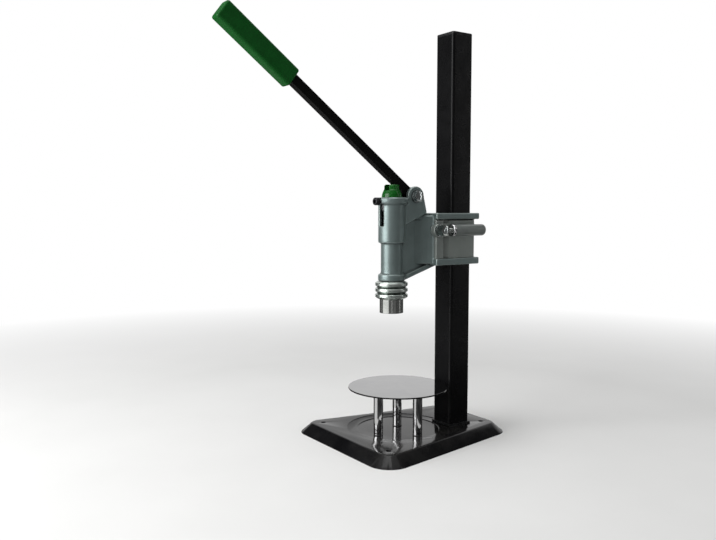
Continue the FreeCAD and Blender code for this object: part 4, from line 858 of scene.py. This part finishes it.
for node, way, thread in (("pivot_bolt", -1, 9.0 * MM), ("clamp_screw", 1, 14.0 * MM)):
    low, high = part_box(node)
    foot = high.x - BOLT_HEAD if way < 0 else low.x + BOLT_HEAD
    piece = bolt(high.x - low.x - BOLT_HEAD, thread)
    lay_along_x(piece, foot, (low.y + high.y) / 2, (low.z + high.z) / 2, way)
    settle(smooth(piece), node + "_threaded", "head", "zinc_steel", node)

low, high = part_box("pivot_nut")
nut = lay_along_x(hexagon(high.x - low.x), low.x, (low.y + high.y) / 2, (low.z + high.z) / 2)
settle(smooth(nut), "pivot_nut_turned", "head", "zinc_steel", "pivot_nut")

# %% [markdown]
# The clamp lever is a long hexagon nut with a rod welded to one flat. The weld is a small ring
# with the ripples that a welder leaves each time the pool is fed. A plain torus looks like a
# rubber ring, so its surface is pushed in and out along its run, with a slower wave on top of the
# ripples.

# %% Clamp lever
ROD_RADIUS, ROD_EDGE = 3.5 * MM, 0.6 * MM
BEAD_OUT, BEAD_THICK, BEAD_RIPPLES = 0.5 * MM, 1.0 * MM, 13
BEAD_LIFT = 0.3 * MM
RIPPLE_DEPTH, WAVE_DEPTH, WAVES, WAVE_START = 0.16, 0.07, 3, 0.8


def weld_ring(radius):
    bead = added("torus", major_radius=radius, minor_radius=BEAD_THICK, major_segments=120,
                 minor_segments=14)
    for vertex in bead.data.vertices:
        turn = math.atan2(vertex.co.y, vertex.co.x)
        centre = Vector((math.cos(turn), math.sin(turn), 0)) * radius
        swell = 1 + RIPPLE_DEPTH * math.cos(turn * BEAD_RIPPLES)
        swell += WAVE_DEPTH * math.sin(turn * WAVES + WAVE_START)
        vertex.co = centre + (vertex.co - centre) * swell
    return bead


low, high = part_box("clamp_lever_nut")
length = high.x - low.x
middle_x, axis_y, axis_z = low.x + length / 2, low.y + FLATS / 2, (low.z + high.z) / 2
nut = frozen(smooth(lay_along_x(hexagon(length), low.x, axis_y, axis_z)))

rod = added("cylinder", vertices=64, radius=ROD_RADIUS, depth=high.y - axis_y,
            rotation=(math.radians(90), 0, 0), location=(middle_x, (high.y + axis_y) / 2, axis_z))
edge = rod.modifiers.new("edge", "BEVEL")
edge.width, edge.segments, edge.limit_method = ROD_EDGE, 2, "ANGLE"
apply_all(rod)

bead = smooth(weld_ring(ROD_RADIUS + BEAD_OUT), angle=60)
bead.rotation_euler = (math.radians(90), 0, 0)
bead.location = (middle_x, axis_y + FLATS / 2 + BEAD_LIFT, axis_z)
settle(joined(nut, frozen(smooth(rod)), frozen(bead)),
       "clamp_lever_welded", "clamp_lever", "tommy_zinc", "clamp_lever_nut")

# %% [markdown]
# A compression spring has its last turns closed and ground flat, so that it stands square on its
# seat. A coil of constant rise, which is what the Screw modifier winds, looks like a screw
# instead. So the wire is laid as a curve of its real thickness, with a rise of one wire in the
# end turns and more between them. It is made a mesh, and two flat cuts grind its ends. The return
# spring lifts the ram and stands still at its foot, and the collet's spring stands still at its
# top.

# %% Springs
POINTS_PER_TURN = 28
GROUND_AWAY = 0.3
SLIVER = 0.001 * MM


def wire_height(turn, turns, first, last, wire):
    """How high the middle of the wire lies after some turns."""
    if turn < 1:
        return first + wire * turn
    if turn > turns - 1:
        return last - wire * (turns - turn)
    return first + wire + (last - first - 2 * wire) * (turn - 1) / (turns - 2)


def spring(name, node, body, low, high, radius, wire, turns):
    line = bpy.data.curves.new(name, "CURVE")
    line.dimensions = "3D"
    line.bevel_depth = wire / 2
    line.bevel_resolution = 4
    line.use_fill_caps = True
    strand = line.splines.new("POLY")
    count = int(turns * POINTS_PER_TURN)
    strand.points.add(count)
    first, last = low + GROUND_AWAY * wire, high - GROUND_AWAY * wire
    for i in range(count + 1):
        turn = i / POINTS_PER_TURN
        angle = 2 * math.pi * turn
        z = wire_height(turn, turns, first, last, wire)
        strand.points[i].co = (radius * math.cos(angle), radius * math.sin(angle), z, 1)
    piece = bpy.data.objects.new(name, line)
    bpy.context.scene.collection.objects.link(piece)
    only(piece)
    bpy.ops.object.convert(target="MESH")
    piece = bpy.context.object
    with editing(piece):
        bpy.ops.mesh.remove_doubles(threshold=SLIVER)
        for height, way in ((low, -1), (high, 1)):
            bpy.ops.mesh.select_all(action="SELECT")
            bpy.ops.mesh.bisect(plane_co=(0, 0, height), plane_no=(0, 0, way), use_fill=True,
                                clear_outer=True)
    settle(smooth(piece, angle=40), name, body, "spring_steel", node)
    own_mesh(piece)


RETURN_LOW, RETURN_HIGH = 271.0 * MM, 310.0 * MM
COLLET_LOW, COLLET_HIGH = 191.4 * MM, 206.2 * MM
spring("return_spring_ground", "return_spring", "head", RETURN_LOW, RETURN_HIGH,
       radius=11.4 * MM, wire=2.0 * MM, turns=8.0)
spring("collet_spring_ground", "collet_spring", "ram", COLLET_LOW, COLLET_HIGH,
       radius=10.1 * MM, wire=1.2 * MM, turns=6.0)

# %% [markdown]
# The studio is plain. A white surround lights the machine only weakly, but is seen at full white
# by the camera and in mirrors: the Light Path node tells these rays apart. The floor is pale and
# takes the machine's shadow near it. Further out it fades into the same white, so that it has no
# horizon.

# %% Floor and surround
FLOOR_HALF = 4.0
FADE_FROM, FADE_TO = 0.55, 1.46
AMBIENT = 0.38
WHITE = (1, 1, 1, 1)


def brightness(web):
    """Full white for rays that show a surface or its mirror image, dim for rays that light it."""
    ray = web.node("LightPath")
    direct = web.math("MAXIMUM", ray["Is Camera Ray"], ray["Is Glossy Ray"])
    shown = web.math("MAXIMUM", direct, ray["Is Transmission Ray"])
    return web.remap(shown, 0.0, 1.0, AMBIENT, 1.0)


floor = added("plane", size=2 * FLOOR_HALF, location=(0, 0, 0))
floor.name = "studio_floor"
f = Finish("pale_floor", Specular_IOR_Level=0.0)
f.colour(f.blend(f.noise(scale=6.0, detail=4.0), seen(216, 216, 215), seen(224, 224, 223)))
f.rough(f.noise(scale=40.0, detail=3.0), low=0.6, high=0.75)
haze = f.node("Emission", {"Color": WHITE, "Strength": brightness(f)})["Emission"]
fade = f.remap(f.vector("LENGTH", f.point)["Value"], FADE_FROM, FADE_TO)
f.surface(f.node("MixShader", {0: fade, 1: f.shader.outputs["BSDF"], 2: haze})["Shader"])
floor.data.materials.append(f.material)

world = bpy.data.worlds.new("white_surround")
bpy.context.scene.world = world
world.use_nodes = True
sky = Web(world.node_tree)
background = sky.tree.nodes["Background"].inputs
background["Color"].default_value = WHITE
sky.feed(background["Strength"], brightness(sky))
print("floor", floor.dimensions.x, "m wide, plain to", FADE_FROM, "m and white from", FADE_TO, "m")


# %% [markdown]
# Small lamps give a shiny machine hard spots. A large lamp gives broad, soft highlights with a
# clear edge, which show the shape of metal and gloss paint. The key lamp stands in front, a
# weaker one hangs above, and a very weak, slim one behind gives upright edges a thin line of
# light.

# %% Lamps
def soft_lamp(name, place, aim, size, power):
    lamp = bpy.data.lights.new(name, "AREA")
    lamp.shape = "RECTANGLE"
    lamp.size, lamp.size_y = size
    lamp.energy = power
    obj = bpy.data.objects.new(name, lamp)
    obj.location = place
    obj.rotation_euler = (Vector(aim) - Vector(place)).to_track_quat("-Z", "Y").to_euler()
    bpy.context.scene.collection.objects.link(obj)
    print(name, size, "m,", power, "W")


soft_lamp("key_box", (-0.17, -1.47, 0.62), aim=(0, 0, 0.3), size=(1.20, 1.1), power=30)
soft_lamp("edge_strip", (0.54, 0.66, 0.55), aim=(0, 0, 0.3), size=(0.05, 0.9), power=0.4)
soft_lamp("top_box", (-0.1, -0.1, 1.9), aim=(0, 0, 0.2), size=(1.1, 1.1), power=14)

# %% [markdown]
# White behind a shiny thing is also white in its reflections, and chrome without dark bands looks
# like plaster. Grey cloths stand and lie round the machine for that, as in a real studio. They
# glow evenly in their own grey, so that no lamp changes them, and only reflections see them: they
# are hidden from the camera and throw no light or shadow on the machine.

# %% Helper: grey cloths
CARD_REACH, CARD_HEIGHT = 0.92, 1.35
CLOTH_GLOW = 0.85
FLOOR_CARD_LIFT = 0.6
FAN_STEPS = 12


def card_felt(card, tones, stretch, fold_size):
    """Grey cloth in broad folds."""
    f = Finish(card.name + "_cloth")
    folds = f.remap(f.use(brushed, Stretch=stretch, Size=fold_size)["Height"],
                    low=0.38, high=0.62)
    dark, light = (seen(tone, tone, tone) for tone in tones)
    glow = {"Color": f.blend(folds, dark, light), "Strength": CLOTH_GLOW}
    f.surface(f.node("Emission", glow)["Emission"])
    card.data.materials.append(f.material)
    card.visible_camera = card.visible_diffuse = card.visible_shadow = False
    print(card.name, "greys", tones)


def upright_card(name, from_angle, to_angle, tones):
    """A card that stands from one compass angle to another, as seen from the machine."""
    start, end = (Vector((math.cos(a), math.sin(a), 0)) * CARD_REACH
                  for a in (math.radians(from_angle), math.radians(to_angle)))
    run = end - start
    card = added("plane", size=1.0)
    card.name = name
    card.scale = (run.length, CARD_HEIGHT, 1)
    card.rotation_euler = (math.radians(90), 0, math.atan2(run.y, run.x))
    card.location = (start + end) / 2 + Vector((0, 0, CARD_HEIGHT / 2))
    card_felt(card, tones, stretch=(1.0, 0.02, 1.0), fold_size=0.06)


def floor_card(name, from_angle, to_angle, inner, outer, tones):
    """A fan-shaped cloth that lies round the base, which the stand's legs mirror."""
    angles = [math.radians(from_angle + (to_angle - from_angle) * k / FAN_STEPS)
              for k in range(FAN_STEPS + 1)]
    fan = [(outer * math.cos(a) / MM, outer * math.sin(a) / MM) for a in angles]
    fan += [(inner * math.cos(a) / MM, inner * math.sin(a) / MM) for a in reversed(angles)]
    card = flat_outline(fan, FLOOR_CARD_LIFT)
    card.name = name
    card_felt(card, tones, stretch=(1.0, 1.0, 1.0), fold_size=0.09)


# %% [markdown]
# A cylinder mirrors almost the whole room in a few millimetres, so each dark band on it belongs to
# one direction. The cards' angles were found by asking which direction each band in the photograph
# shows: the darkest cards stand to the left of the machine, paler ones near the camera and to the
# right, and the gaps between them let the white through.

# %% Place the cloths
for number, card in enumerate(((-62, -33, (70, 140)), (-30, 8, (80, 140)), (8, 48, (60, 110)),
                               (52, 88, (60, 110)), (-178, -150, (40, 70)), (-146, -126, (20, 50))),
                              start=1):
    upright_card(f"dark_card_{number}", *card)
floor_card("floor_card_front", -66, 88, 0.13, 0.62, tones=(34, 84))
floor_card("floor_card_side", -205, -136, 0.13, 0.62, tones=(20, 50))

# %% [markdown]
# A filmic view would grey the whites and soften the contrast. Standard shows a colour about as it
# is written.

# %% View
bpy.context.scene.view_settings.view_transform = "Standard"
